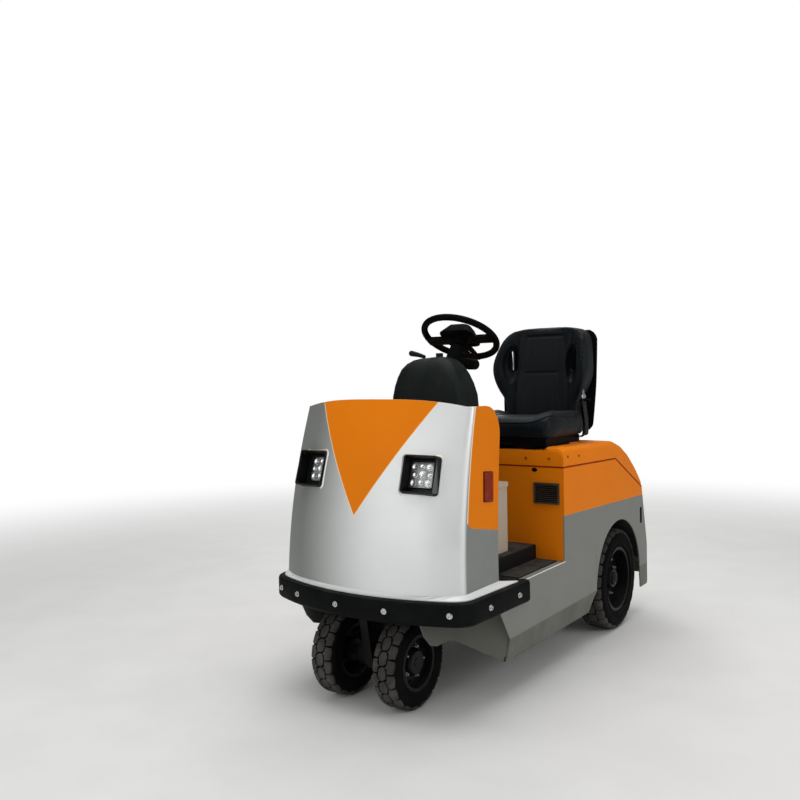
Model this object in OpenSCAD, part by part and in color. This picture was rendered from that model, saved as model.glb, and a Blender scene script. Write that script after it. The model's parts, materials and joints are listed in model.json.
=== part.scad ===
// Electric baggage tug with twin steered front wheels and a hinged battery lid that carries the seat.
// Millimetres. X forward, Y to the driver's left, Z up, ground at z = 0.
// Stations along X are counted from the front axle and moved to the middle of the length by place().

/* [Wheels] */
// Distance from the front axle to the rear axle
wheelbase = 1490; // [1440:10:1560]
// Outer diameter of a front tyre
front_tyre_d = 380; // [350:2:380]
// Width of a front tyre
front_tyre_w = 115; // [95:1:115]
// Distance between the middles of the twin front tyres
front_track = 318; // [300:1:318]
// Outer diameter of a front rim
front_rim_d = 214; // [190:2:240]
// Outer diameter of a rear tyre
rear_tyre_d = 526; // [500:2:540]
// Width of a rear tyre
rear_tyre_w = 150; // [130:5:160]
// Outer diameter of a rear rim
rear_rim_d = 320; // [280:5:340]
// Diameter of the axle stubs
axle_d = 40; // [30:1:50]
// Radial clearance of a wheel bore on its stub
axle_clearance = 0.05; // [0.02:0.01:0.1]

/* [Chassis and sills] */
// Width over the body sides
body_w = 1000; // [990:2:1020]
// Height of the step and of the sill's upper edge
step_z = 485; // [475:1:495]
// Height of the driver's raised floor
floor_z = 550; // [530:1:570]
// Width of the raised floor
floor_w = 710; // [660:10:740]
// Height of the crease in the sill
crease_z = 271; // [240:1:300]
// Height of the sill's lower edge
sill_bottom_z = 168; // [150:1:190]
// Inward set of the sill's lower edge
sill_tuck = 24; // [0:1:40]
// Thickness of the sill and side plates
plate_t = 6; // [4:1:8]

/* [Bumper] */
// Station of the bumper's front face
bumper_x = 208; // [204:1:220]
// Height of the rubber bumper
bumper_h = 93; // [70:1:110]
// Thickness of the rubber bumper
bumper_t = 42; // [30:1:50]
// How far the bumper stands out of the sill
bumper_stand = 18; // [10:1:24]
// Station of the bumper's rear ends
bumper_end_x = -393; // [-420:1:-360]

/* [Cowl] */
// Station of the cowl's foot in front
cowl_x = 180; // [160:1:182]
// Height of the cowl's foot
cowl_base_z = 508; // [500:1:516]
// Height of the cowl's upper edge in the middle
cowl_top_z = 1262; // [1200:2:1300]
// Drop of the upper edge from the middle to the corners
cowl_crown = 32; // [10:1:40]
// Width of the cowl at its foot
cowl_base_w = 914; // [890:2:920]
// Width of the cowl at its upper corners
cowl_top_w = 862; // [820:2:870]
// Backward lean of the front face over its height
cowl_lean = 184; // [140:2:200]
// Backward lean of the side panel's rear edge
cowl_rake = 90; // [60:2:110]
// Station of the side panel's rear edge at its foot
cowl_rear_x = -230; // [-250:1:-225]
// Radius of the front face in plan
cowl_bow_r = 1050; // [900:10:1300]
// Radius of the vertical front corners
cowl_corner_r = 22; // [16:1:40]
// How much further the front face falls back beside its corners at the foot
cowl_turn = 36; // [0:1:44]
// Radius of the side panel's upper rear corner
cowl_round_r = 130; // [80:5:150]
// Thickness of the cowl's wall
cowl_t = 5; // [4:0.5:7]

/* [Headlamps] */
// Distance from the middle to a headlamp
lamp_y = 278; // [250:1:290]
// Height of a headlamp's centre
lamp_z = 972; // [900:2:1000]
// Width of a headlamp's housing
lamp_w = 152; // [136:2:160]
// Height of a headlamp's housing
lamp_h = 154; // [136:2:166]
// How far a housing's front stands out of the cowl at its middle
lamp_stand = 23; // [20:1:30]
// Outward turn of a housing's front
lamp_turn = 4; // [0:1:8]
// Width of a side marker
marker_w = 78; // [40:1:90]
// Height of a side marker
marker_h = 124; // [100:2:150]

/* [Battery box and lid] */
// Station of the battery box's front panel
box_x = -789; // [-810:1:-780]
// Station of the rear wall at its top
tail_top_x = -1850; // [-1880:2:-1830]
// Station of the rear wall at its foot
tail_x = -1926; // [-1940:2:-1910]
// Height of the lid's joint at the front
joint_front_z = 926; // [915:1:935]
// Height of the lid's joint at the knee
joint_knee_z = 911; // [905:1:920]
// Station of the knee in the lid's joint
joint_knee_x = -1445; // [-1480:5:-1420]
// Height of the lid's joint at the rear
joint_rear_z = 716; // [710:1:740]
// Height of the lid's flat top
lid_top_z = 1015; // [1000:1:1030]
// Station where the lid starts to fall to the rear
lid_fall_x = -1380; // [-1420:5:-1370]
// Thickness of the lid's wall
lid_t = 6; // [4:1:8]
// Open joint between lid and box
lid_gap = 6; // [5:1:8]
// Radius of the rear wheel's arch
arch_r = 315; // [300:1:330]

/* [Driver's place] */
// Distance of the seat from the middle, to the left
seat_y = 166; // [130:2:180]
// Distance of the steering column from the middle, to the left
column_y = 140; // [110:2:160]
// Width of the seat cushion
seat_w = 530; // [480:5:560]
// Diameter of the steering wheel
wheel_d = 366; // [340:2:400]
// Diameter of the steering wheel's rim
wheel_rim_d = 30; // [24:1:36]
// Height of the steering wheel's centre
wheel_z = 1529; // [1510:1:1560]
// Station of the steering wheel's centre
wheel_x = -482; // [-500:2:-464]
// Lean of the steering column from upright
column_lean = 30; // [26:1:36]

/* [Tow coupling] */
// Number of jaw plates in the coupling
jaws = 4; // [3:1:5]
// Clear height between two jaw plates
jaw_gap = 46; // [40:1:56]
// Thickness of a jaw plate
jaw_t = 16; // [12:1:20]
// Diameter of the coupling pin
pin_d = 28; // [20:1:34]
// Radial clearance of the coupling pin in its bores
pin_clearance = 0.1; // [0.05:0.01:0.1]
// Height of the lowest jaw plate
coupling_z = 270; // [250:2:300]
// Reach of the jaws behind the rear wall
coupling_reach = 124; // [100:2:150]

/* [Hidden] */

$fn = 96;

silver = [0.78, 0.8, 0.79];
grey = [0.5, 0.51, 0.49];
orange = [0.88, 0.49, 0.07];
black = [0.06, 0.065, 0.07];
rubber = [0.09, 0.09, 0.09];
steel = [0.35, 0.35, 0.36];

coupling_top_z = coupling_z + jaws * jaw_t + (jaws - 1) * jaw_gap;
jaw_nose_x = tail_x - coupling_reach;
mid_x = (bumper_x + jaw_nose_x) / 2;
body_y = body_w / 2;
bumper_top_z = step_z + 2;
bumper_y = body_y + bumper_stand;
rear_y = body_y - rear_tyre_w / 2;
front_r = front_tyre_d / 2;
rear_r = rear_tyre_d / 2;
arch_inner_y = body_y - rear_tyre_w - 16;
wheel_sweep = norm([front_track / 2 + front_tyre_w / 2, front_r]);
well_y = wheel_sweep + 12;
deck_z = cowl_top_z - cowl_crown - 22;
bulkhead_x = cowl_rear_x + 34;

module place() {
    translate([-mid_x, 0, 0])
        children();
}

module both_sides() {
    for (s = [0, 1])
        mirror([0, s, 0])
            children();
}

// Flat shape given in X and Z, made solid from y = a to y = b
module side_plate(a, b, points) {
    translate([0, b, 0])
        rotate([90, 0, 0])
            linear_extrude(b - a)
                polygon(points);
}

// Flat shape given in Y and Z, made solid from x = a to x = b
module cross_plate(a, b, points) {
    translate([a, 0, 0])
        rotate([90, 0, 90])
            linear_extrude(b - a)
                polygon(points);
}

// Block between two corners
module block(a, b) {
    translate(a)
        cube(b - a);
}

// Cylinder along Y through the given point, centred on it
module rod_y(x, y, z, r, h) {
    translate([x, y, z])
        rotate([90, 0, 0])
            cylinder(r = r, h = h, center = true);
}

function lerp(a, b, t) = a + (b - a) * t;
function bend(a, b, c, t) = (1 - t) * (1 - t) * a + 2 * t * (1 - t) * b + t * t * c;
function to_3d(points, z) = [for (p = points) [p[0], p[1], z]];

// Rectangle with round corners, n points a corner, as a ring
function round_ring(w, h, r, n) = [for (c = [[1, 1, 0], [-1, 1, 90], [-1, -1, 180], [1, -1, 270]], i = [0:n])
    [c[0] * (w / 2 - r) + r * cos(c[2] + 90 * i / n), c[1] * (h / 2 - r) + r * sin(c[2] + 90 * i / n)]];

// Solid through a stack of rings that all have the same number of points. Bent ends are closed by triangles
module loft(rings, bent_ends = false) {
    n = len(rings[0]);
    m = len(rings);
    sides = [for (i = [0:m - 2], j = [0:n - 1])
        [i * n + j, (i + 1) * n + j, (i + 1) * n + (j + 1) % n, i * n + (j + 1) % n]];
    flat = [[for (j = [0:n - 1]) j], [for (j = [n - 1:-1:0]) (m - 1) * n + j]];
    bent = [for (j = [1:n - 2]) each [[0, j, j + 1], [(m - 1) * n, (m - 1) * n + j + 1, (m - 1) * n + j]]];
    polyhedron([for (r = rings) each r], concat(sides, bent_ends ? bent : flat), convexity = 8);
}

// Wall between two grids of points, with its four edges closed
module wall(front, back) {
    rows = len(front);
    cols = len(front[0]);
    n = rows * cols;
    faces = concat(
        [for (i = [0:rows - 2], j = [0:cols - 2]) each [
            [i * cols + j, (i + 1) * cols + j, (i + 1) * cols + j + 1, i * cols + j + 1],
            [n + i * cols + j, n + i * cols + j + 1, n + (i + 1) * cols + j + 1, n + (i + 1) * cols + j]]],
        [for (j = [0:cols - 2]) each [
            [j, j + 1, n + j + 1, n + j],
            [(rows - 1) * cols + j, n + (rows - 1) * cols + j,
                n + (rows - 1) * cols + j + 1, (rows - 1) * cols + j + 1]]],
        [for (i = [0:rows - 2]) each [
            [i * cols, n + i * cols, n + (i + 1) * cols, (i + 1) * cols],
            [i * cols + cols - 1, (i + 1) * cols + cols - 1,
                n + (i + 1) * cols + cols - 1, n + i * cols + cols - 1]]]);
    polyhedron([for (g = [front, back], r = g) each r], faces, convexity = 8);
}

// Path in plan moved inward by a distance
function inset(path, d) = [for (i = [0:len(path) - 1])
    let (a = path[max(i - 1, 0)], b = path[min(i + 1, len(path) - 1)], t = (b - a) / norm(b - a))
    path[i] + d * [-t[1], t[0]]];

// Closed section swept along a path in plan; the section's points are distance inward and height
module plan_sweep(path, section) {
    lines = [for (s = section) inset(path, s[0])];
    loft([for (i = [0:len(path) - 1])
        [for (k = [0:len(section) - 1]) [lines[k][i][0], lines[k][i][1], section[k][1]]]]);
}

// Cowl: how far up its height a level lies, then the lines that shape it
function cowl_s(z) = (z - cowl_base_z) / (cowl_top_z - cowl_base_z);
function cowl_front(z) = cowl_x - cowl_lean * (0.2 * cowl_s(z) + 0.8 * cowl_s(z) * cowl_s(z));
function cowl_half(z) = lerp(cowl_base_w, cowl_top_w, cowl_s(z)) / 2;
function cowl_round(z) =
    let (t = max(0, z - (cowl_top_z - cowl_crown - cowl_round_r)))
    cowl_round_r - sqrt(max(0, cowl_round_r * cowl_round_r - t * t));
function cowl_rear(z) = cowl_rear_x - cowl_rake * pow(cowl_s(z), 1.5) + cowl_round(z);
function cowl_edge_z(y) = cowl_top_z - cowl_crown * pow(min(1, abs(y) / (cowl_top_w / 2)), 3);

// How far the front face lies back at a distance from the middle: a bow that turns in beside the corners
function cowl_bow(y, z) = y * y / 2 / cowl_bow_r
    + cowl_turn * sqrt(max(0, 1 - cowl_s(z))) * pow(max(0, y / cowl_half(z) - 0.64) / 0.36, 2);

// One half of the cowl in plan at height z, set in by d: bowed front, corner, straight side
function cowl_half_plan(z, d, rear) =
    let (h = cowl_half(z) - d, r = cowl_corner_r - d, f = cowl_front(z) - d, yc = h - r,
        a = [f - cowl_bow(yc, z), yc], b = [f - cowl_bow(h, z), h], c = [b[0] - r, h])
    concat([for (i = [0:6]) let (y = yc * (i < 4 ? i / 5.6 : 0.62 + (i - 3) * 0.105)) [f - cowl_bow(y, z), y]],
        [for (i = [0:6]) bend(a, b, c, i / 6)],
        [for (i = [1:4]) [lerp(c[0], rear, i / 4), h]]);
function cowl_plan(z, d, rear) =
    let (half = cowl_half_plan(z, d, rear), n = len(half))
    concat([for (i = [n - 1:-1:1]) [half[i][0], -half[i][1]]], half);

// Outer or inner face of the cowl as a grid of rows from foot to upper edge
function cowl_grid(d) =
    let (rows = 14, ref = cowl_plan(cowl_base_z, 0, cowl_rear_x))
    [for (i = [0:rows]) let (v = i / rows, s = 1 - pow(1 - v, 1.25))
        [for (j = [0:len(ref) - 1])
            let (z = lerp(cowl_base_z, cowl_edge_z(ref[j][1]), s), p = cowl_plan(z, d, cowl_rear(z))[j])
            [p[0], p[1], z]]];

module front_cowl() {
    color(silver)
        place()
            difference() {
                wall(cowl_grid(0), cowl_grid(cowl_t));
                at_lamp()
                    translate([0, 0, -lamp_depth - 30])
                        linear_extrude(lamp_depth + 60)
                            polygon(round_ring(lamp_w + 2 * lamp_hole_gap, lamp_h + 2 * lamp_hole_gap, 12.5, 3));
            }
}

// Headlamp housing: a square box that faces forward, so that its outer side stands out of the bowed cowl
lamp_face_x = cowl_front(lamp_z) - cowl_bow(lamp_y, lamp_z) + lamp_stand;
lamp_tip = atan(cowl_lean * (0.2 + 1.6 * cowl_s(lamp_z)) / (cowl_top_z - cowl_base_z)) + 1;
lamp_depth = 84;
lamp_hollow = 62;
lamp_wall = 7;
lamp_unit_w = 111;
lamp_unit_h = 110;
lamp_unit_inset = 12.5;
lamp_unit_rise = 6;
lamp_hole_gap = 0.5;
module at_lamp() {
    both_sides()
        translate([lamp_face_x, lamp_y, lamp_z])
            rotate([0, -lamp_tip, lamp_turn])
                rotate([90, 0, 90])
                    children();
}
module headlamp_housings() {
    color(black)
        place()
            at_lamp()
                difference() {
                    translate([0, 0, -lamp_depth])
                        linear_extrude(lamp_depth)
                            polygon(round_ring(lamp_w, lamp_h, 12, 3));
                    translate([0, 0, -lamp_hollow])
                        linear_extrude(lamp_hollow + 20)
                            polygon(round_ring(lamp_w - 2 * lamp_wall, lamp_h - 2 * lamp_wall, 8, 3));
                }
}
module headlamp_lenses() {
    color("white")
        place()
            at_lamp()
                translate([-lamp_unit_inset, lamp_unit_rise, -lamp_hollow])
                    linear_extrude(15)
                        polygon(round_ring(lamp_unit_w, lamp_unit_h, 7.7, 3));
}

// Side markers, flat on the cowl's side panels
marker_z = 902;
marker_x = -174;
marker_lean = 5;
module side_markers() {
    color([0.75, 0.2, 0.03])
        place()
            both_sides()
                translate([marker_x, cowl_half(marker_z) + 0.1, marker_z])
                    rotate([-90 + atan((cowl_base_w - cowl_top_w) / 2 / (cowl_top_z - cowl_base_z)), 0, 0])
                        rotate([0, 0, -marker_lean])
                            linear_extrude(6)
                                polygon(round_ring(marker_w, marker_h, 7, 4));
}

// Flared ledge between the bumper's top and the cowl's foot
module base_ledge() {
    top = cowl_plan(cowl_base_z, -1, cowl_rear_x);
    inner = cowl_plan(cowl_base_z, 40, cowl_rear_x);
    low = bumper_plan(26, cowl_rear_x - 104);
    n = len(top);
    color(silver)
        place()
            loft([for (i = [0:n - 1])
                let (edge = along(low, i / (n - 1)))
                [[inner[i][0], inner[i][1], bumper_top_z], [inner[i][0], inner[i][1], cowl_base_z],
                    [top[i][0], top[i][1], cowl_base_z], [edge[0], edge[1], bumper_top_z + 5],
                    [edge[0], edge[1], bumper_top_z]]], bent_ends = true);
}

// Outer line of the bumper in plan, which widens to the rear, set in by d, from its right end to its left end
bumper_flare = 16;
function bumper_half_plan(d, rear) =
    let (r = 62, h = bumper_y - bumper_flare - d, f = bumper_x - d, bow = cowl_bow_r - 50, yc = h - r,
        a = [f - yc * yc / 2 / bow, yc], b = [f - h * h / 2 / bow, h], c = [b[0] - r, h])
    concat([for (i = [0:7]) let (y = yc * i / 8) [f - y * y / 2 / bow, y]],
        [for (i = [0:6]) bend(a, b, c, i / 6)],
        [for (i = [1:4]) [lerp(c[0], rear, i / 4), h + bumper_flare * i / 4]]);
function bumper_plan(d, rear) =
    let (half = bumper_half_plan(d, rear), n = len(half))
    concat([for (i = [n - 1:-1:1]) [half[i][0], -half[i][1]]], half);
// Point at share t of a path
function along(path, t) =
    let (k = t * (len(path) - 1), i = min(floor(k), len(path) - 2))
    lerp(path[i], path[i + 1], k - i);

module bumper() {
    low = bumper_top_z - bumper_h;
    section = [[0, low + 10], [8, low], [bumper_t, low], [bumper_t, bumper_top_z],
        [12, bumper_top_z], [4, bumper_top_z - 4], [0, bumper_top_z - 12]];
    color(rubber)
        place()
            plan_sweep(bumper_plan(0, bumper_end_x), section);
}

// Chassis: head plate with the steering bearing, skirt behind the bumper, rails and cross members
kingpin_r = 45;
ring_r = 130;
head_z = bumper_top_z - 24;
head_top_z = step_z - plate_t;
rail_z = 330;
rail_h = 120;
rail_w = 25;
rail_y = arch_inner_y - rail_w - 1;
module chassis_frame() {
    skirt = bumper_t + 0.3;
    low = bumper_top_z - bumper_h + 6;
    top = rail_z + rail_h;
    color(grey)
        place() {
            difference() {
                translate([0, 0, low])
                    linear_extrude(head_top_z - low)
                        polygon(inset(bumper_plan(0, bumper_end_x + 4), skirt));
                translate([0, 0, low - 10])
                    linear_extrude(head_z - low + 10)
                        polygon(inset(bumper_plan(0, bumper_end_x - 20), skirt + 8));
                translate([0, 0, head_z - 20])
                    cylinder(r = kingpin_r + axle_clearance, h = 60);
            }
            translate([0, 0, head_z - 16])
                linear_extrude(18)
                    difference() {
                        circle(r = ring_r);
                        circle(r = ring_r - 35);
                    }
            for (s = [-1, 1]) {
                a = min(s * rail_y, s * (rail_y + rail_w));
                b = max(s * rail_y, s * (rail_y + rail_w));
                difference() {
                    block([tail_x + 26, a, rail_z], [bumper_end_x + 193, b, top]);
                    rod_y(-wheelbase, s * 400, rear_r, rear_r - 180, 300);
                }
                block([bumper_end_x - 17, a, top - 40], [bumper_end_x + 193, b, head_z + 4]);
            }
            for (x = [bumper_end_x - 40, box_x + 20, box_x - 110, box_x - 420, box_x - 630, tail_x + 50])
                block([x, -rail_y - 4, rail_z + 10], [x + 36, rail_y + 4, top]);
            block([tail_x + 12, -rail_y - rail_w - 4, rail_z - 60], [tail_x + 30, rail_y + rail_w + 4, tail_knee_z]);
            block([box_x + 30, -rail_y - 10, top - 4], [bumper_end_x - 20, rail_y + 10, top + plate_t]);
        }
}

// Plates beside the front wheels, with oblique ends that meet the sills
fold_x = -123;
fold_turn = 124.6;
module wheel_well() {
    fold_run = (body_y - plate_t - 0.5 - well_y - plate_t / 2) / sin(fold_turn) - 2;
    top = head_z;
    well_back = -wheel_sweep - 52;
    under = low_bumper_z - 1;
    scallop = [[88, top], [88, under], [128, under], [128, 386], [100, 335], [55, 290], [11, 277], [-72, 280], [-119, 266],
        [well_back, 262], [well_back, top]];
    color(grey)
        place() {
            for (s = [-1, 1]) {
                side_plate(min(s * well_y, s * (well_y + plate_t)), max(s * well_y, s * (well_y + plate_t)),
                    scallop);
            }
            both_sides()
                translate([fold_x, well_y + plate_t / 2, 0])
                    rotate([90, 0, fold_turn])
                        linear_extrude(3)
                            polygon([[0, 266], [0, under], [fold_run, under], [fold_run, crease_z],
                                [fold_run - sill_tuck * 1.21, sill_bottom_z + plate_t]]);
            block([well_back - plate_t, -well_y, 262], [well_back, well_y, top]);
        }
}

// Sill: flat upper band, tucked lower band, folded edge under the step
sill_front = [[-165, step_z + 10], [-165, 387], [-169, 383], [-241, crease_z], [-251, 100]];
arch_front_x = -wheelbase + arch_r;
module sill(s) {
    o = body_y;
    i = body_y - plate_t;
    b = body_y - sill_tuck;
    rear = concat([[arch_front_x + 0.3, step_z + 10], [arch_front_x + 0.3, rear_r]], [[arch_front_x + 20, crease_z - 30],
        [arch_front_x + 54, sill_bottom_z], [arch_front_x + 54, 100]]);
    outline = concat(sill_front, [for (k = [4:-1:0]) rear[k]]);
    color(grey)
        place()
            mirror([0, s, 0])
                intersection() {
                    cross_plate(arch_front_x - 10, -160, [[o, step_z], [o, crease_z], [b, sill_bottom_z],
                        [b - 30, sill_bottom_z], [b - 30, sill_bottom_z + plate_t], [b - plate_t, sill_bottom_z + plate_t],
                        [i, crease_z], [i, step_z - plate_t], [i - 24, step_z - plate_t], [i - 24, step_z - 12],
                        [i - 24 - plate_t, step_z - 12], [i - 24 - plate_t, step_z]]);
                    difference() {
                        side_plate(o - 100, o + 10, outline);
                        block([bumper_end_x - 3, o - 45, low_bumper_z - 0.3], [0, o + 20, 600]);
                    }
                }
}
low_bumper_z = bumper_top_z - bumper_h;
module sills() { sill(0); sill(1); }

// Deck inside the cowl's upper edge
module cowl_deck() {
    color(black)
        place()
            difference() {
                translate([0, 0, deck_z - plate_t])
                    linear_extrude(plate_t)
                        polygon(cowl_plan(deck_z, cowl_t + 2, bulkhead_x - 70));
                translate([-330, column_y - 28, deck_z - 20])
                    cylinder(r = 70, h = 40);
            }
}

// Wall between the front compartment and the driver's feet
module bulkhead() {
    y0 = cowl_half(cowl_base_z) - 41;
    y1 = cowl_half(deck_z) - 41;
    color(black)
        place()
            cross_plate(bulkhead_x - plate_t, bulkhead_x,
                [[-y0, head_top_z], [y0, head_top_z], [y1, deck_z - plate_t], [-y1, deck_z - plate_t]]);
}

// Instrument housing: rounded and narrowing to its top; columns are height, width, depth, corner, set-back, shift
dash_y = column_y - 28;
dash_x = -313;
module dash_binnacle() {
    levels = [[deck_z, 352, 196, 26, 0, -4], [deck_z + 60, 346, 196, 30, -2, -6], [deck_z + 110, 326, 190, 36, -6, -12],
        [deck_z + 150, 300, 180, 42, -10, -18], [deck_z + 184, 268, 164, 46, -14, -24],
        [deck_z + 208, 224, 136, 44, -18, -28], [deck_z + 223, 168, 98, 36, -20, -30],
        [deck_z + 229, 104, 56, 22, -22, -30]];
    color(black)
        place()
            difference() {
                loft([for (l = levels) [for (q = round_ring(l[2], l[1], l[3], 4))
                    [dash_x + l[4] + q[0], dash_y + l[5] + q[1],
                        l[0] + 0.06 * q[1] * (l[0] - deck_z) / 231]]]);
                at_column()
                    translate([0, 0, -420])
                        cylinder(r = 44.3, h = 400);
            }
}

// Frame of the steering column: centre of the wheel, Z along the column
module at_column() {
    translate([wheel_x, column_y, wheel_z])
        rotate([0, -column_lean, 0])
            children();
}
shaft_r = 11;
module column_shroud() {
    rings = [[-340, 44], [-230, 44], [-226, 40], [-214, 40], [-210, 44], [-196, 44],
        [-192, 40], [-180, 40], [-176, 44], [-164, 44], [-160, 40], [-96, 36], [-60, 32], [-48, 26]];
    color(black)
        place()
            difference() {
                union() {
                    at_column()
                        rotate_extrude()
                            polygon(concat([[0, -340]], [for (r = rings) [r[1], r[0]]], [[0, -48]]));
                    hull() {
                        translate([wheel_x + 56, column_y + 18, wheel_z - 112])
                            rotate([0, 90, 0])
                                cylinder(r = 22, h = 44, center = true, $fn = 24);
                        translate([wheel_x + 10, column_y + 66, wheel_z - 124])
                            rotate([0, 90, 0])
                                cylinder(r = 24, h = 50, center = true, $fn = 24);
                    }
                }
                at_column()
                    translate([0, 0, -160])
                        cylinder(r = shaft_r + axle_clearance, h = 200);
            }
}

// Steering wheel: rim, three spokes, hub with raised pad, shaft in the column
module steering_wheel() {
    r = wheel_d / 2 - wheel_rim_d / 2;
    color(black)
        place()
            at_column() {
                rotate_extrude()
                    translate([r, 0])
                        circle(d = wheel_rim_d, $fn = 32);
                for (a = [90, 180, 270])
                    rotate([0, 0, a])
                        difference() {
                            block([28, -26, -20], [r, 26, -6]);
                            block([84, -8, -30], [wheel_d / 2 - 44, 8, 0]);
                        }
                translate([0, 0, -42])
                    cylinder(r = 34, h = 44);
                translate([0, 0, -120])
                    cylinder(r = shaft_r, h = 90);
                hull() {
                    translate([0, 0, -8])
                        linear_extrude(4)
                            polygon(round_ring(142, 168, 36, 4));
                    translate([4, 0, 36])
                        linear_extrude(4)
                            polygon(round_ring(92, 112, 28, 4));
                }
            }
}

// Lever and switch on top of the instrument housing
module dash_controls() {
    color(black)
        place() {
            hull() {
                translate([dash_x - 12, dash_y - 67, deck_z + 234.6])
                    sphere(r = 8, $fn = 16);
                translate([dash_x - 12, dash_y - 95, deck_z + 243])
                    sphere(r = 10, $fn = 16);
            }
            hull() {
                translate([dash_x - 12, dash_y - 95, deck_z + 243])
                    sphere(r = 10, $fn = 16);
                translate([dash_x - 12, dash_y - 134, deck_z + 251])
                    sphere(r = 13, $fn = 16);
            }
            translate([dash_x - 22, dash_y + 8, deck_z + 231.95])
                linear_extrude(16)
                    polygon(round_ring(26, 26, 5, 3));
        }
}

// Narrow stowage box beside the driver's legs
stowage_y = 312;
stowage_w = 74;
stowage_x = -587;
stowage_top = 848;
module stowage_box() {
    color([0.66, 0.6, 0.52])
        place() {
            block([stowage_x, stowage_y - stowage_w, floor_z + 4], [bulkhead_x - plate_t, stowage_y, stowage_top]);
            block([stowage_x - 4, stowage_y - stowage_w - 4, stowage_top],
                [bulkhead_x - plate_t, stowage_y + 4, stowage_top + 22]);
        }
}

// Raised floor of the driver's place and the lower steps beside it
module raised_floor() {
    color(black)
        place() {
            difference() {
                block([box_x + 0.3, -floor_w / 2, step_z - 6], [bulkhead_x - 12.3, floor_w / 2, floor_z]);
                block([box_x + 6, -floor_w / 2 + 6, 0], [bulkhead_x - 18, floor_w / 2 - 6, floor_z - 6]);
            }
            both_sides()
                block([box_x + 0.3, floor_w / 2 + 0.3, step_z - 6],
                    [cowl_rear_x - 108, body_y - plate_t - 30.3, step_z]);
        }
}
module step_mats() {
    color([0.12, 0.12, 0.12])
        place() {
            both_sides()
                block([box_x + 2, floor_w / 2 + 3, step_z], [bumper_end_x - 1, body_y - plate_t - 32, step_z + 4]);
            block([box_x + 2, -floor_w / 2 + 3, floor_z],
                [bulkhead_x - 14, floor_w / 2 - 3, floor_z + 4]);
        }
}

// Accelerator and brake pedals on their floor bracket
module pedals() {
    color(steel)
        place()
            for (p = [[column_y - 69, 62], [column_y + 46, 74]]) {
                translate([-330, p[0], floor_z + 95])
                    rotate([0, 50, 0])
                        linear_extrude(8)
                            polygon(round_ring(120, p[1], 10, 3));
                block([-352, p[0] - 8, floor_z + 4], [-334, p[0] + 8, floor_z + 108]);
                block([-380, p[0] - 24, floor_z + 4], [-310, p[0] + 24, floor_z + 10]);
            }
}

// Front panel of the battery box with windows for the ventilation grilles
vent_y = body_y - 87;
vent_z = 798;
vent_w = 128;
vent_h = 98;
module box_front() {
    h = body_y - plate_t - 0.3;
    top = joint_front_z - lid_gap;
    foot = rail_z + rail_h;
    color(orange)
        place()
            difference() {
                cross_plate(box_x - plate_t, box_x, [[-h, step_z + 0.3], [-h, top], [h, top], [h, step_z + 0.3],
                    [h - 32, step_z + 0.3], [h - 32, foot], [32 - h, foot], [32 - h, step_z + 0.3]]);
                both_sides()
                    block([box_x - 20, vent_y - vent_w / 2, vent_z - vent_h / 2],
                        [box_x + 20, vent_y + vent_w / 2, vent_z + vent_h / 2]);
            }
}

// Grilles: a frame in each window and tilted louvres across it
louvres = 9;
module vent_grilles() {
    w = vent_w - 0.6;
    h = vent_h - 0.6;
    color([0.2, 0.2, 0.19])
        place()
            both_sides()
                translate([box_x, vent_y, vent_z]) {
                    difference() {
                        block([-4, -w / 2, -h / 2], [9, w / 2, h / 2]);
                        block([-20, -w / 2 + 7, -h / 2 + 7], [20, w / 2 - 7, h / 2 - 7]);
                    }
                    for (i = [0:louvres - 1])
                        translate([2, 0, -h / 2 + 7 + (h - 14) * (i + 0.5) / louvres])
                            rotate([0, -35, 0])
                                cube([11, w - 13, 1.6], center = true);
                }
}

// Side of the body: follows the lid's joint, the tail's slope and the wheel's arch
function joint_z(x) = x > joint_knee_x
    ? lerp(joint_knee_z, joint_front_z, (x - joint_knee_x) / (box_x - joint_knee_x))
    : lerp(joint_rear_z, joint_knee_z, (x - tail_top_x) / (joint_knee_x - tail_top_x));
tail_knee_z = 382;
tail_bottom_z = 151;
slot_x = -1826;
slot_z = 556;
slot_w = 22;
slot_h = 84;
module body_side(s) {
    outline = [[box_x, step_z], [box_x, joint_front_z - lid_gap], [joint_knee_x, joint_knee_z - lid_gap],
        [tail_top_x, joint_rear_z - lid_gap], [tail_x, tail_knee_z], [tail_x, tail_bottom_z + 14],
        [tail_x + 10, tail_bottom_z], [-wheelbase - arch_r - 8, tail_bottom_z], [-wheelbase - arch_r, 220],
        [-wheelbase, rear_r], [arch_front_x, rear_r], [arch_front_x, step_z]];
    color(grey)
        place()
            mirror([0, s, 0])
                difference() {
                    side_plate(body_y - plate_t, body_y, outline);
                    rod_y(-wheelbase, body_y, rear_r, arch_r, 100);
                    translate([slot_x, body_y - 20, slot_z])
                        rotate([-90, 0, 0])
                            linear_extrude(40)
                                polygon(round_ring(slot_w, slot_h, 8, 4));
                }
}
module body_sides() { body_side(0); body_side(1); }

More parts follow.
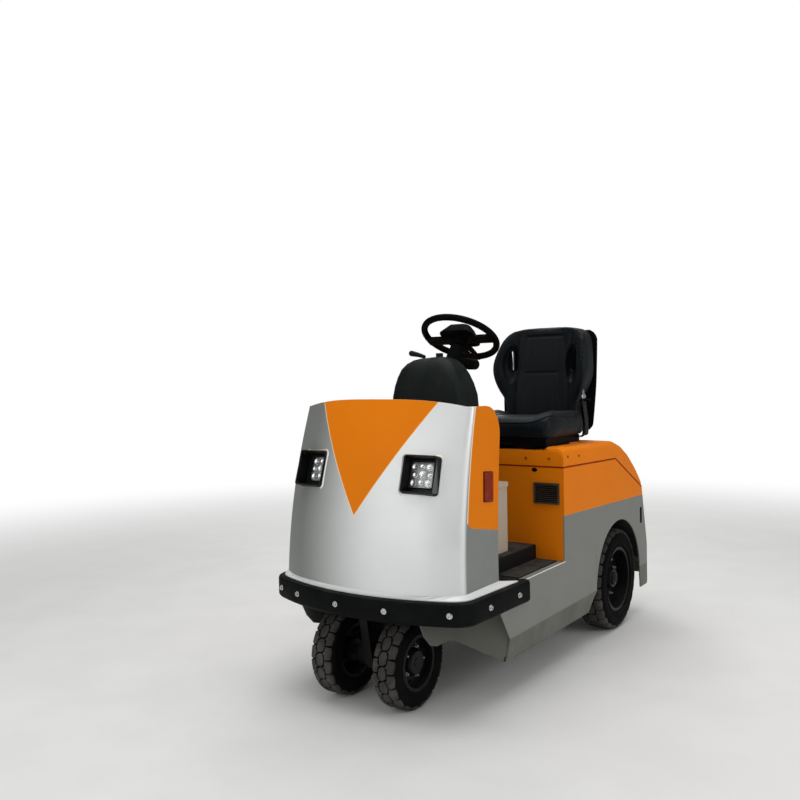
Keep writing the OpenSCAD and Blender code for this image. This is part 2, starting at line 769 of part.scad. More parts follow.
// Rear wall between the sides, open below the coupling bracket
tail_lamp_y = body_y - 100;
tail_lamp_z = 470;
module rear_wall() {
    y = body_y - plate_t - 0.3;
    color(grey)
        place()
            difference() {
                side_plate(-y, y, [[tail_top_x, joint_rear_z - lid_gap], [tail_x, tail_knee_z],
                    [tail_x, tail_bottom_z + 60], [tail_x + plate_t, tail_bottom_z + 60],
                    [tail_x + plate_t, tail_knee_z], [tail_top_x + plate_t, joint_rear_z - lid_gap - 2]]);
                both_sides()
                    translate([tail_x - 40, tail_lamp_y, tail_lamp_z])
                        rotate([90, 0, 90])
                            linear_extrude(120)
                                polygon(round_ring(96, 136, 12, 4));
            }
}
module tail_lamps() {
    lean = atan((tail_top_x - tail_x) / (joint_rear_z - lid_gap - tail_knee_z));
    x = lerp(tail_x, tail_top_x, (tail_lamp_z - tail_knee_z) / (joint_rear_z - lid_gap - tail_knee_z));
    color([0.5, 0.05, 0.04])
        place()
            both_sides()
                translate([x, tail_lamp_y, tail_lamp_z])
                    rotate([0, lean, 0])
                        rotate([90, 0, 90])
                            translate([0, 0, -7])
                                linear_extrude(26)
                                    polygon(round_ring(95, 132, 11.6, 4));
}

// Liners of the rear wheel arches
module rear_arches() {
    o = arch_r + 4;
    color(rubber)
        place()
            both_sides()
                difference() {
                    rod_y(-wheelbase, (arch_inner_y + body_y - plate_t - 0.3) / 2, rear_r, o,
                        body_y - plate_t - 0.3 - arch_inner_y);
                    rod_y(-wheelbase, (arch_inner_y + 4 + body_y) / 2, rear_r, o - 4, body_y - arch_inner_y - 4);
                    block([-wheelbase - o - 9, 0, rear_r - o - 9], [-wheelbase + o + 9, body_y + 9, rear_r + 60]);
                    block([tail_x - 300, 0, 0], [tail_x + 40, body_y + 9, lid_top_z]);
                }
}

// Battery: one heavy block on the rails
battery_w = 560;
battery_l = 640;
battery_h = 400;
module battery() {
    color([0.25, 0.27, 0.3])
        place()
            block([-wheelbase, -battery_w / 2, rail_z + rail_h],
                [battery_l - wheelbase, battery_w / 2, rail_z + rail_h + battery_h]);
}

// Rear axle with its gear housing, spring seats and stubs
module rear_axle() {
    hub_y = rear_y - 50;
    spring_y = rail_y - 2;
    color(steel)
        place() {
            difference() {
                union() {
                    rod_y(-wheelbase, 0, rear_r, 46, 2 * hub_y - 10);
                    translate([-wheelbase, 0, rear_r])
                        sphere(r = 108);
                    rod_y(-wheelbase, 0, rear_r, 92, 190);
                }
                block([-wheelbase - 300, -rail_y, rail_z - 0.3], [-wheelbase + 300, rail_y, lid_top_z]);
            }
            both_sides() {
                rod_y(-wheelbase, hub_y - 7, rear_r, 82, 14);
                rod_y(-wheelbase, rear_y, rear_r, axle_d / 2, 110);
                block([-wheelbase - 55, spring_y - 46, rear_r + 20], [-wheelbase + 55, spring_y, rail_z + 30]);
            }
            for (x = [-60, 24])
                block([-wheelbase + x, -spring_y, rail_z + 30], [-wheelbase + x + 36, spring_y, rail_z + rail_h]);
        }
}

// Lid: height of its top at a station, convex to the rear and ended by a low rear face
lid_tail_h = 36;
function lid_top(x) = x > lid_fall_x
    ? lerp(lid_top_z - 10, lid_top_z, (x - lid_fall_x) / (box_x - lid_fall_x))
    : lerp(joint_rear_z + lid_tail_h, lid_top_z - 10, 1 - pow(1 - (x - tail_top_x) / (lid_fall_x - tail_top_x), 1.9));
// Lid: half section across at station x, from the joint up over a rounded shoulder, set in by d
function lid_half_section(x, d, drop) =
    let (h = body_y - 1 - d, b = joint_z(x), t = max(b + 1, lid_top(x) - d - drop), r = min(30, (t - b) * 0.8))
    concat([[h, b]], [for (i = [0:4]) [h - r + r * cos(90 * i / 4), t - r + r * sin(90 * i / 4)]],
        [[h * 0.6, t + 1.5], [h * 0.25, t + 2.5]]);
function lid_ring(x, d, drop, foot) =
    let (half = lid_half_section(x, d, drop), n = len(half), low = half[0][1] - foot)
    [for (p = concat([[-half[0][0], low]], [for (i = [1:n - 1]) [-half[i][0], half[i][1]]],
        [for (i = [n - 1:-1:1]) half[i]], [[half[0][0], low]])) [x, p[0], p[1]]];
lid_flat = box_x - lid_fall_x;
lid_knee = box_x - joint_knee_x;
lid_tail = box_x - tail_top_x - 11;
lid_run = concat([for (t = [0.3, 0.6, 0.88, 1]) t * lid_flat],
    [for (t = [0, 0.25, 0.5, 0.75, 0.9]) lerp(lid_knee, lid_tail, t)]);
lid_stations = concat([[0, 26], [3, 14], [10, 5], [26, 0]], [for (t = lid_run) [t, 0]], [[lid_tail, 0]]);
lid_inside = concat([[lid_t, 26], [12, 10], [26, 0]], [for (t = lid_run) [t, 0]]);
recess_depth = 17;
module seat_recess(grow) {
    hull() {
        block([-1330 - grow, -404 - grow, lid_top_z - recess_depth - grow], [box_x + 20, 404 + grow, lid_top_z - 16]);
        block([-1350 - grow, -424 - grow, lid_top_z + 20], [box_x + 20, 424 + grow, lid_top_z + 21]);
    }
}
module lid() {
    color(orange)
        place() {
            difference() {
                loft([for (s = lid_stations) lid_ring(box_x - s[0], 0, s[1], 0)]);
                loft([for (s = lid_inside) lid_ring(box_x - s[0], lid_t, s[1], 20)]);
                seat_recess(0);
            }
            difference() {
                intersection() {
                    seat_recess(lid_t);
                    block([-1500, -body_y, 900], [box_x - 1, body_y, lid_top_z - lid_t]);
                }
                seat_recess(0);
            }
        }
}

// Hinge of the lid, outside at the top of the rear wall: outer knuckles and pin, then the lid's knuckle
hinge_x = tail_top_x - 16;
hinge_z = joint_rear_z - 11;
hinge_y = 300;
hinge_r = 9;
hinge_pin_r = 5;
function wall_x(z) = lerp(tail_x, tail_top_x, (z - tail_knee_z) / (joint_rear_z - lid_gap - tail_knee_z));
module lid_hinge() {
    color(steel)
        place()
            both_sides() {
                for (y = [hinge_y - 42, hinge_y + 42])
                    difference() {
                        union() {
                            rod_y(hinge_x, y, hinge_z, hinge_r, 40);
                            side_plate(y - 20, y + 20, [[hinge_x - hinge_r, hinge_z], [hinge_x, hinge_z - 1],
                                [wall_x(hinge_z - 4) - 0.1, hinge_z - 4], [wall_x(hinge_z - 66) - 0.1, hinge_z - 66],
                                [wall_x(hinge_z - 66) - 4, hinge_z - 66]]);
                        }
                        rod_y(hinge_x, y, hinge_z, hinge_pin_r, 60);
                    }
                rod_y(hinge_x, hinge_y, hinge_z, hinge_pin_r, 130);
            }
}
module lid_hinge_leaf() {
    xs = [-1838, -1820, -1800, -1780];
    color(steel)
        place()
            both_sides()
                difference() {
                    union() {
                        rod_y(hinge_x, hinge_y, hinge_z, hinge_r, 43);
                        side_plate(hinge_y - 21.5, hinge_y + 21.5, concat([[hinge_x - hinge_r, hinge_z],
                            [hinge_x - 4, hinge_z + 20]], [for (x = xs) [x, lid_top(x) + 6.8]],
                            [for (i = [3:-1:0]) [xs[i], lid_top(xs[i]) + 3.2]], [[hinge_x + 6, hinge_z + 6]]));
                    }
                    rod_y(hinge_x, hinge_y, hinge_z, hinge_pin_r + axle_clearance, 60);
                }
}

// Rubber strips on the box's upper edge that carry the shut lid
module lid_buffers() {
    color(rubber)
        place()
            both_sides()
                for (x = [[-860, -950], [-1360, -1440]])
                    side_plate(body_y - plate_t + 0.3, body_y - 1.5, [[x[0], joint_z(x[0]) - lid_gap + 0.1],
                        [x[0], joint_z(x[0]) - 0.1], [x[1], joint_z(x[1]) - 0.1],
                        [x[1], joint_z(x[1]) - lid_gap + 0.1]]);
}

// Seat: base with slide rails
seat_z = lid_top_z - recess_depth;
seat_x = -1025;
cushion_z = seat_z + 52;
seat_base_w = 464;
module seat_base() {
    color(black)
        place()
            translate([seat_x, seat_y, seat_z]) {
                for (y = [-150, 150])
                    block([-205, y - 22, 0], [205, y + 22, 16]);
                block([-190, -seat_base_w / 2, 16], [204, seat_base_w / 2, cushion_z - seat_z - 0.3]);
                block([150, -60, 20], [222, 60, 30]);
                for (y = [-160, 148])
                    side_plate(y, y + 12, [[-180, 20], [-180, 48], [-222, 50], [-226, back_rows[0][0] - 0.3],
                        [-300, back_rows[0][0] - 0.3], [-300, 52], [-230, 20]]);
            }
}

// Seat cushion: sections from front to back with raised side bolsters
function cushion_section(x, w, b, top, bolster) =
    let (half = [[w / 2 - 12, b], [w / 2, b + 24], [w / 2, top - 26], [w / 2 - 10, top + bolster - 6],
        [w / 2 - 34, top + bolster], [w / 2 - 74, top + bolster * 0.55], [w / 2 - 110, top + 2], [w * 0.12, top]])
    concat([for (p = half) [x, p[0], p[1]]], [for (i = [7:-1:0]) [x, -half[i][0], half[i][1]]]);
cushion_rows = [[232, 0.9, 26, 60, 2], [222, 0.95, 8, 86, 6], [196, 0.98, 0, 104, 12], [140, 1, 0, 112, 20],
    [40, 1, 0, 106, 26], [-80, 1, 0, 100, 28], [-170, 0.98, 0, 102, 24], [-206, 0.95, 4, 92, 14], [-214, 0.9, 20, 70, 4]];
module seat_cushion() {
    color(black)
        place()
            translate([seat_x, seat_y, cushion_z])
                loft([for (i = [len(cushion_rows) - 1:-1:0]) let (r = cushion_rows[i])
                    cushion_section(r[0], seat_w * r[1], r[2], r[3], r[4])]);
}

// Seat back: rings from bottom to top; columns are height over the seat's foot, half width, wing reach
back_rows = [[72, 186, 2], [84, 204, 4], [122, 212, 6], [182, 206, 10], [227, 216, 18], [272, 242, 34],
    [322, 262, 52], [378, 272, 64], [432, 268, 66], [487, 257, 58], [537, 240, 44], [570, 218, 28], [589, 190, 18],
    [600, 156, 10], [605, 116, 6]];
back_t = 84;
function back_face(z) = seat_x - 224 - 0.08 * (z - 102);
function back_ring(r) =
    let (w = r[1], f = r[2], x = back_face(r[0]), z = seat_z + r[0],
        half = [[0.2, -2], [0.48, 0], [0.68, f * 0.22], [0.84, f * 0.66], [0.93, f * 0.96], [0.985, f * 0.9],
            [1, f * 0.4], [0.995, -40], [0.975, -66], [0.93, 4 - back_t], [0.3, -back_t]])
    concat([for (p = half) [x + p[1], p[0] * w, z]],
        [for (i = [len(half) - 1:-1:0]) [x + half[i][1], -half[i][0] * w, z]]);
module seat_back() {
    color(black)
        place()
            translate([0, seat_y, 0])
                difference() {
                    loft([for (r = back_rows) back_ring(r)]);
                    both_sides()
                        translate([seat_x - 400, 172, seat_z + 436])
                            rotate([90, 0, 90])
                                linear_extrude(300)
                                    polygon(round_ring(24, 116, 11, 4));
                }
}
module seat_shell() {
    rows = [[66, 240, 6], [90, 258, 16], [180, 264, 22], [302, 270, 24], [540, 270, 24], [572, 256, 16], [590, 232, 6]];
    color(black)
        place()
            translate([0, seat_y, 0])
                loft([for (r = rows)
                    let (x = back_face(r[0]) - back_t - 0.4, w = r[1], z = seat_z + r[0])
                    [[x, w, z], [x - r[2] * 0.6, w - 6, z], [x - r[2], w - 26, z], [x - r[2], 26 - w, z],
                        [x - r[2] * 0.6, 6 - w, z], [x, -w, z]]]);
}
module belt_buckles() {
    color([0.5, 0.06, 0.05])
        place()
            translate([seat_x - 150, seat_y, cushion_z + 30]) {
                for (s = [-1, 1])
                    hull() {
                        translate([0, s * (seat_w / 2 + 7), -34])
                            cube([26, 8, 20], center = true);
                        translate([14, s * (seat_w / 2 + 9), 30])
                            cube([24, 8, 20], center = true);
                    }
                for (s = [0, 1])
                    mirror([0, s, 0])
                        block([-13, seat_base_w / 2, -44], [13, seat_w / 2 + 11, -36]);
                translate([23, -seat_w / 2 - 9, 62])
                    rotate([0, 20, 0])
                        cube([28, 18, 50], center = true);
            }
}

// Steered unit: slewing disc, kingpin, web between the wheels and axle stubs
stub_end = front_track / 2 + 44;
web_t = 40;
module turntable() {
    plate_z = head_z;
    color(steel)
        place() {
            translate([0, 0, plate_z - 39])
                cylinder(r = ring_r - 2, h = 22.6);
            translate([0, 0, plate_z - 39])
                cylinder(r = kingpin_r, h = 39 + 24 + 26);
            difference() {
                union() {
                    side_plate(-web_t / 2, web_t / 2, [[-110, plate_z - 38], [110, plate_z - 38],
                        [62, front_r - 20], [40, front_r - 50], [-40, front_r - 50], [-62, front_r - 20]]);
                    rod_y(0, 0, front_r, 52, front_track - front_tyre_w - 66);
                }
                rod_y(0, 0, front_r, axle_d / 2, 500);
            }
            rod_y(0, 0, front_r, axle_d / 2, 2 * stub_end);
        }
}

// Tyre around the Z axis: tread, round shoulders and side walls around the rim's seat
module tyre(d, w, rim_d) {
    r = d / 2;
    i = rim_d / 2;
    m = (r + i) / 2;
    k = w / 2;
    half = [[i, k * 0.72], [i + 10, k * 0.86], [m, k], [r - 22, k * 0.97], [r - 9, k * 0.88], [r - 2, k * 0.76],
        [r, k * 0.6]];
    rotate_extrude()
        polygon(concat(half, [for (n = [6:-1:0]) [half[n][0], -half[n][1]]]));
}

// Rim around the Z axis: barrel with flanges, dished disc and bored hub; dish is the disc's height
module rim(rim_d, w, dish, hub_h, holes) {
    r = rim_d / 2 - 0.3;
    k = w / 2 * 0.72 + 0.3;
    f = w / 2 * 0.112;
    bore = axle_d / 2 + axle_clearance;
    difference() {
        rotate_extrude()
            polygon([[bore, -hub_h / 2], [46, -hub_h / 2], [46, dish - 8], [r - 40, dish - 8], [r - 14, dish - 30],
                [r - 8, 6 - k], [r - 6, -k - f - 2], [r + 8, -k - f - 3], [r + 8, -k - f], [r, -k], [r, k],
                [r + 8, k + f], [r + 8, k + f + 3], [r - 6, k + f + 2], [r - 8, dish - 2], [r - 34, dish], [58, dish],
                [52, hub_h / 2 - 8], [46, hub_h / 2], [bore, hub_h / 2]]);
        for (a = [0:360 / holes:359])
            rotate([0, 0, a])
                translate([r - 27, 0, dish - 50])
                    cylinder(r = 9, h = 90);
    }
}
module front_tyres() {
    color(rubber)
        place()
            both_sides()
                translate([0, front_track / 2, front_r])
                    rotate([-90, 0, 0])
                        tyre(front_tyre_d, front_tyre_w, front_rim_d);
}
module front_rims() {
    color(black)
        place()
            both_sides()
                translate([0, front_track / 2, front_r])
                    rotate([-90, 0, 0])
                        rim(front_rim_d, front_tyre_w, 18, 84, 5);
}
module rear_wheel_at(s) {
    translate([-wheelbase, s * rear_y, rear_r])
        rotate([s * -90, 0, 0])
            children();
}
module rear_tyre_left() {
    color(rubber)
        place()
            rear_wheel_at(1)
                tyre(rear_tyre_d, rear_tyre_w, rear_rim_d);
}
module rear_rim_left() {
    color(black)
        place()
            rear_wheel_at(1)
                rim(rear_rim_d, rear_tyre_w, 2, 84, 8);
}
module rear_tyre_right() {
    color(rubber)
        place()
            rear_wheel_at(-1)
                tyre(rear_tyre_d, rear_tyre_w, rear_rim_d);
}
module rear_rim_right() {
    color(black)
        place()
            rear_wheel_at(-1)
                rim(rear_rim_d, rear_tyre_w, 2, 84, 8);
}

// Tow coupling: back plate, cheeks and round-nosed jaw plates bored for the pin
jaw_w = 130;
pin_x = jaw_nose_x + jaw_w / 2;
module tow_coupling() {
    back = tail_x - 14;
    color(steel)
        place()
            difference() {
                union() {
                    block([back, -110, coupling_z - 20], [tail_x - 0.3, 110, tail_knee_z + 40]);
                    for (i = [0:jaws - 1])
                        translate([0, 0, coupling_z + i * (jaw_t + jaw_gap)]) {
                            block([pin_x, -jaw_w / 2, 0], [back, jaw_w / 2, jaw_t]);
                            translate([pin_x, 0, 0])
                                cylinder(d = jaw_w, h = jaw_t);
                        }
                    for (s = [-1, 1])
                        block([back - 40, s * (jaw_w / 2 - 6) - 6, coupling_z],
                            [back, s * (jaw_w / 2 - 6) + 6, coupling_top_z]);
                }
                translate([pin_x, 0, coupling_z - 30])
                    cylinder(r = pin_d / 2 + pin_clearance, h = 400);
                block([tail_x - 0.3, -200, 0], [tail_x + 200, 200, 999]);
            }
}
module tow_pin() {
    low = coupling_top_z - 2 * jaw_t - jaw_gap - 6;
    color([0.75, 0.75, 0.74])
        place()
            translate([pin_x, 0, 0]) {
                translate([0, 0, low])
                    cylinder(r = pin_d / 2, h = coupling_top_z - low);
                translate([0, 0, coupling_top_z])
                    cylinder(r = 22, h = 8);
                for (y = [-24, 24])
                    translate([0, y, 0])
                        block([-5, -5, coupling_top_z + 2], [5, 5, coupling_top_z + 66]);
                block([-5, -29, coupling_top_z + 56], [5, 29, coupling_top_z + 66]);
            }
}

chassis_frame();
wheel_well();
sills();
bumper();
base_ledge();
front_cowl();
headlamp_housings();
headlamp_lenses();
side_markers();
cowl_deck();
bulkhead();
dash_binnacle();
dash_controls();
column_shroud();
steering_wheel();
stowage_box();
raised_floor();
step_mats();
pedals();
box_front();
vent_grilles();
body_sides();
rear_wall();
rear_arches();
tail_lamps();
battery();
rear_axle();
lid();
lid_hinge();
lid_hinge_leaf();
lid_buffers();
seat_base();
seat_cushion();
seat_back();
seat_shell();
belt_buckles();
turntable();
front_tyres();
front_rims();
rear_tyre_left();
rear_rim_left();
rear_tyre_right();
rear_rim_right();
tow_coupling();
tow_pin();
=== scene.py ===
import json
import math

import bmesh
import bpy
from mathutils import Matrix, Vector
from mathutils.bvhtree import BVHTree

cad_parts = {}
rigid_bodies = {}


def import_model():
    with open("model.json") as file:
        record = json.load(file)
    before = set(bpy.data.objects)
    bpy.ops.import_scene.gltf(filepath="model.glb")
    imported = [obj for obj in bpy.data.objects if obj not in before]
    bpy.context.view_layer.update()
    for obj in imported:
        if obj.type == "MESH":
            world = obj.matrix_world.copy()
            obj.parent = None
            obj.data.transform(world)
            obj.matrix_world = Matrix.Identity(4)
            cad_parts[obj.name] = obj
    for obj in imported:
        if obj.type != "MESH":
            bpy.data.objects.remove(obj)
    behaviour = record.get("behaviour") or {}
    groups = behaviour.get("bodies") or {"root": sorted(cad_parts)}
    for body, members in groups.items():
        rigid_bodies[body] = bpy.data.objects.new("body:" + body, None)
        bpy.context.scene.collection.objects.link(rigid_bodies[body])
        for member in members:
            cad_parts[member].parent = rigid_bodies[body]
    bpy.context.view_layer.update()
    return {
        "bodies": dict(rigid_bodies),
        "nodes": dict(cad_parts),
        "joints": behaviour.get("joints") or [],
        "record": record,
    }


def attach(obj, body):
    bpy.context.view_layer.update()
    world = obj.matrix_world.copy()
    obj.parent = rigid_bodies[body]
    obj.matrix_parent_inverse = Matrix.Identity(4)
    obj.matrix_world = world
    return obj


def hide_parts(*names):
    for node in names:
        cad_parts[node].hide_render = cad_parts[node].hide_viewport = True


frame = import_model()
CAD = frame["nodes"]

# The front axle's station in the frame, in metres; the sizes below it are in millimetres, as in the part's source
FRONT_AXLE = 0.921
MM = 0.001
WHEELBASE = 1490.0
FRONT_R, FRONT_Y = 190.0, 159.0
REAR_R, REAR_Y = 263.0, 425.0
BODY_Y = 500.0
SIDES = ((1, "left"), (-1, "right"))
MIRROR = Matrix.Scale(-1, 4, Vector((0, 1, 0)))
OUT_OF_FACE = Matrix(((0, 0, 1, 0), (1, 0, 0, 0), (0, 1, 0, 0), (0, 0, 0, 1)))
UP = Vector((0, 0, 1))


def at(x, y, z):
    """A point given in millimetres from the front axle, as the part's own sizes are."""
    return Vector((x / 1000 + FRONT_AXLE, y / 1000, z / 1000))


def front_hub(side, out=0.0):
    """Middle of a front wheel, or a point further out on its axle."""
    return at(0, side * (FRONT_Y + out), FRONT_R)


def rear_hub(side, out=0.0):
    return at(-WHEELBASE, side * (REAR_Y + out), REAR_R)


def circle(count, start=0.0):
    """Evenly spaced angles round a circle, shifted by a share of their pitch."""
    return [2 * math.pi * (k + start) / count for k in range(count)]


def rotation(degrees, axis):
    return Matrix.Rotation(math.radians(degrees), 4, axis)


def mirrored(frame, side):
    """The frame itself on the left, its mirror image on the right."""
    return frame if side > 0 else MIRROR @ frame


# Shader and geometry graphs

class Graph:
    """Adds nodes to a tree, shader nodes by their short name. A socket is linked, any other value is set."""

    def __init__(self, tree):
        self.tree = tree

    def put(self, socket, value):
        if isinstance(value, bpy.types.NodeSocket):
            self.tree.links.new(value, socket)
        elif socket.type == "RGBA" and len(value) == 3:
            socket.default_value = (*value, 1)
        else:
            socket.default_value = value

    def node(self, kind, inputs=None, **settings):
        node = self.tree.nodes.new(kind if "Node" in kind else "ShaderNode" + kind)
        for key, value in settings.items():
            setattr(node, key, value)
        for key, value in (inputs or {}).items():
            self.put(node.inputs[key], value)
        return node

    def math(self, operation, *values, clamp=False):
        return self.node("Math", dict(enumerate(values)), operation=operation, use_clamp=clamp).outputs[0]

    def times(self, a, b, clamp=False):
        return self.math("MULTIPLY", a, b, clamp=clamp)

    def plus(self, a, b):
        return self.math("ADD", a, b)

    def minus(self, a, b, clamp=False):
        return self.math("SUBTRACT", a, b, clamp=clamp)

    def most(self, a, b):
        return self.math("MAXIMUM", a, b)

    def scaled(self, vector, factor):
        return self.node("VectorMath", {0: vector, "Scale": factor}, operation="SCALE").outputs[0]

    def split(self, vector):
        return self.node("SeparateXYZ", {0: vector}).outputs

    def normal(self):
        return self.node("NewGeometry").outputs["Normal"]

    def grey(self, shade):
        return self.node("CombineColor", {0: shade, 1: shade, 2: shade}).outputs[0]

    def mix(self, share, a, b, blend="MIX"):
        node = self.node("Mix", data_type="RGBA", blend_type=blend)
        for socket, value in ((node.inputs[0], share), (node.inputs[6], a), (node.inputs[7], b)):
            self.put(socket, value)
        return node.outputs[2]

    def blend(self, share, a, b):
        node = self.node("Mix", data_type="FLOAT")
        for socket, value in ((node.inputs[0], share), (node.inputs[2], a), (node.inputs[3], b)):
            self.put(socket, value)
        return node.outputs[0]

    def ramp(self, value, low, high, start=0.0, end=1.0):
        node = self.node("MapRange", {"Value": value, "From Min": low, "From Max": high,
                                      "To Min": start, "To Max": end}, interpolation_type="SMOOTHSTEP")
        return node.outputs["Result"]

    def place(self):
        return self.node("TexCoord").outputs["Object"]

    def noise(self, scale, detail=3.0, roughness=0.55, where=None):
        node = self.node("TexNoise", {"Vector": where or self.place(), "Scale": scale, "Detail": detail,
                                      "Roughness": roughness})
        return node.outputs["Fac"]

    def inside(self, value, soft=0.0012):
        """1 where the value is above zero, 0 below, with a narrow soft step between."""
        return self.math("MULTIPLY_ADD", value, 1 / soft, 0.5, clamp=True)

    def above(self, value, limit, soft=0.0012):
        return self.inside(self.minus(value, limit), soft)

    def below(self, value, limit, soft=0.0012):
        return self.inside(self.minus(limit, value), soft)


def shader_group(name, inputs, outputs):
    """A shader node group with named inputs (name, kind, value) and outputs (name, kind)."""
    tree = bpy.data.node_groups.new(name, "ShaderNodeTree")
    for label, kind, value in inputs:
        tree.interface.new_socket(label, in_out="INPUT", socket_type="NodeSocket" + kind).default_value = value
    for label, kind in outputs:
        tree.interface.new_socket(label, in_out="OUTPUT", socket_type="NodeSocket" + kind)
    given = tree.nodes.new("NodeGroupInput").outputs
    result = tree.nodes.new("NodeGroupOutput").inputs
    return Graph(tree), given, result


def make_worn_edges():
    """Edges rounded in the shading, and a broken mask where handling has polished them."""
    g, given, result = shader_group("worn edges", [("Radius", "Float", 0.0015), ("Wear", "Float", 0.5),
                                                   ("Break Up", "Float", 60.0)],
                                    [("Mask", "Float"), ("Normal", "Vector")])
    bevel = g.node("Bevel", {"Radius": given["Radius"]}, samples=4).outputs[0]
    level = g.node("VectorMath", {0: bevel, 1: g.normal()}, operation="DOT_PRODUCT").outputs["Value"]
    broken = g.ramp(g.noise(given["Break Up"], 4.0), 0.44, 0.62)
    g.put(result["Mask"], g.times(g.times(g.ramp(level, 0.995, 0.86), broken), given["Wear"]))
    g.put(result["Normal"], bevel)
    return g.tree


def make_settled_dust():
    """Dust that settles on faces that look up and splashes up from the ground."""
    g, given, result = shader_group("settled dust", [("Top", "Float", 0.5), ("Low", "Float", 0.6),
                                                     ("Upward", "Float", 0.3), ("Patch Size", "Float", 9.0)],
                                    [("Mask", "Float")])
    place = g.place()
    height = g.math("DIVIDE", g.split(place)["Z"], given["Top"])
    low = g.times(g.minus(1.0, height, clamp=True), given["Low"])
    top = g.times(g.ramp(g.split(g.normal())["Z"], 0.35, 1.0), given["Upward"])
    patches = g.ramp(g.noise(given["Patch Size"], 5.0, 0.62), 0.32, 0.72, 0.35, 1.0)
    fine = g.ramp(g.noise(given["Patch Size"], 2.0, 0.7, g.scaled(place, 23.0)), 0.3, 0.7, 0.6, 1.0)
    g.put(result["Mask"], g.times(g.times(g.plus(low, top), patches), fine, clamp=True))
    return g.tree


def make_moulded_grain():
    """Pebbled grain of moulded plastic, rubber and vinyl."""
    g, given, result = shader_group("moulded grain", [("Size", "Float", 500.0), ("Unevenness", "Float", 0.5)],
                                    [("Height", "Float"), ("Shade", "Float")])
    pebble = g.node("TexVoronoi", {"Vector": g.place(), "Scale": given["Size"], "Randomness": 0.9}).outputs["Distance"]
    g.put(result["Height"], g.blend(given["Unevenness"], pebble, g.noise(given["Size"], 2.0)))
    g.put(result["Shade"], g.ramp(g.noise(14.0, 3.0), 0.3, 0.7))
    return g.tree


def make_sprayed_paint():
    """Slight orange peel, fine metal flake and broad unevenness of sprayed paint."""
    g, given, result = shader_group("sprayed paint", [("Flake", "Float", 0.5), ("Peel", "Float", 220.0)],
                                    [("Height", "Float"), ("Shade", "Float"), ("Gloss", "Float")])
    flake = g.node("TexWhiteNoise", {"Vector": g.scaled(g.place(), 900.0)}, noise_dimensions="3D").outputs["Value"]
    g.put(result["Height"], g.noise(given["Peel"], 1.0))
    g.put(result["Shade"], g.blend(given["Flake"], g.noise(2.2, 3.0), g.blend(0.3, g.noise(900.0, 1.0), flake)))
    g.put(result["Gloss"], g.ramp(g.noise(5.0, 4.0, 0.65), 0.3, 0.75))
    return g.tree


WORN_EDGES = make_worn_edges()
DUST = make_settled_dust()
GRAIN = make_moulded_grain()
SPRAY = make_sprayed_paint()


class Finish:
    """A material under construction: its graph, its Principled shader and the shared effects in it."""

    def __init__(self, name, roughness=0.5, metallic=0.0, specular=0.5, coat=0.0, coat_roughness=0.1):
        self.material = bpy.data.materials.new(name)
        self.material.use_nodes = True
        self.g = Graph(self.material.node_tree)
        self.shader = self.material.node_tree.nodes["Principled BSDF"]
        for key, value in (("Roughness", roughness), ("Metallic", metallic), ("Specular IOR Level", specular),
                           ("Coat Weight", coat), ("Coat Roughness", coat_roughness)):
            self.shader.inputs[key].default_value = value

    def use(self, tree, **inputs):
        node = self.g.node("Group", node_tree=tree)
        for key, value in inputs.items():
            self.g.put(node.inputs[key.replace("_", " ")], value)
        return node.outputs

    def set(self, **inputs):
        for key, value in inputs.items():
            self.g.put(self.shader.inputs[key.replace("_", " ")], value)

    def bump(self, height, strength, distance, normal=None):
        node = self.g.node("Bump", {"Height": height, "Strength": strength, "Distance": distance})
        if normal:
            self.g.put(node.inputs["Normal"], normal)
        self.set(Normal=node.outputs[0])


SILVER = (0.83, 0.85, 0.845)
# Painted shade: the darker tone that the silver takes where it is seen aslant
SILVER_PAINTED_SHADE = (0.27, 0.281, 0.268)
LOWER_BAND = (0.10, 0.101, 0.082)
ORANGE = (0.76, 0.195, 0.004)
# Grey body paint, far darker than the cowl's silver; part of that darkness is painted shade
BODY_GREY_WITH_PAINTED_SHADE = (0.205, 0.209, 0.195)
GROUND_DUST = (0.22, 0.208, 0.19)
# Pale colour of the line round the V, and of the painted highlights along the cowl's edges
PALE_LINE_AND_HIGHLIGHT = (0.95, 0.80, 0.56)


def painted(name, colour, dust_top=0.45, low=0.35, upward=0.12, metallic=0.0, roughness=0.36, flake=0.5,
            mask=None, other=None, line=None, line_colour=PALE_LINE_AND_HIGHLIGHT, aslant=None, bare=(0.20, 0.20, 0.20),
            spread=0.06, wear=0.5, coat=0.05, specular=0.03):
    """Sprayed paint with worn edges and settled dust.

    It can have a second colour inside a mask, lines in a third, and painted shade where it is seen aslant.
    """
    f = Finish(name, roughness, metallic, specular, coat=coat, coat_roughness=0.25)
    g = f.g
    spray = f.use(SPRAY, Flake=flake)
    # Painted shade: the colour darkens towards the given shade where the surface is seen aslant
    if aslant:
        facing = g.node("LayerWeight", {"Blend": 0.5}).outputs["Facing"]
        colour = g.mix(g.ramp(facing, 0.12, 0.49), colour, aslant)
    base = colour
    if mask:
        inside = mask(g)
        base = g.mix(inside, colour, other)
        if metallic:
            f.set(Metallic=g.times(g.minus(1.0, inside), metallic))
    # Lines in a third colour: on the cowl the V's line and painted highlights, on the body the lower band
    if line:
        base = g.mix(g.times(line(g), 0.9), base, line_colour)
    tint = g.grey(g.ramp(spray["Shade"], 0.3, 0.7, 1 - spread, 1 + spread))
    varied = g.mix(1.0, base, tint, "MULTIPLY")
    edges = f.use(WORN_EDGES, Radius=0.0016, Wear=wear, Break_Up=55.0)
    dust = f.use(DUST, Top=dust_top, Low=low, Upward=upward)["Mask"]
    worn = g.mix(edges["Mask"], varied, bare)
    gloss = g.ramp(spray["Gloss"], 0.0, 1.0, roughness - 0.05, roughness + 0.07)
    f.set(Base_Color=g.mix(dust, worn, GROUND_DUST), Roughness=g.plus(gloss, g.times(dust, 0.35)))
    f.bump(spray["Height"], 0.05, 0.0006, edges["Normal"])
    return f.material


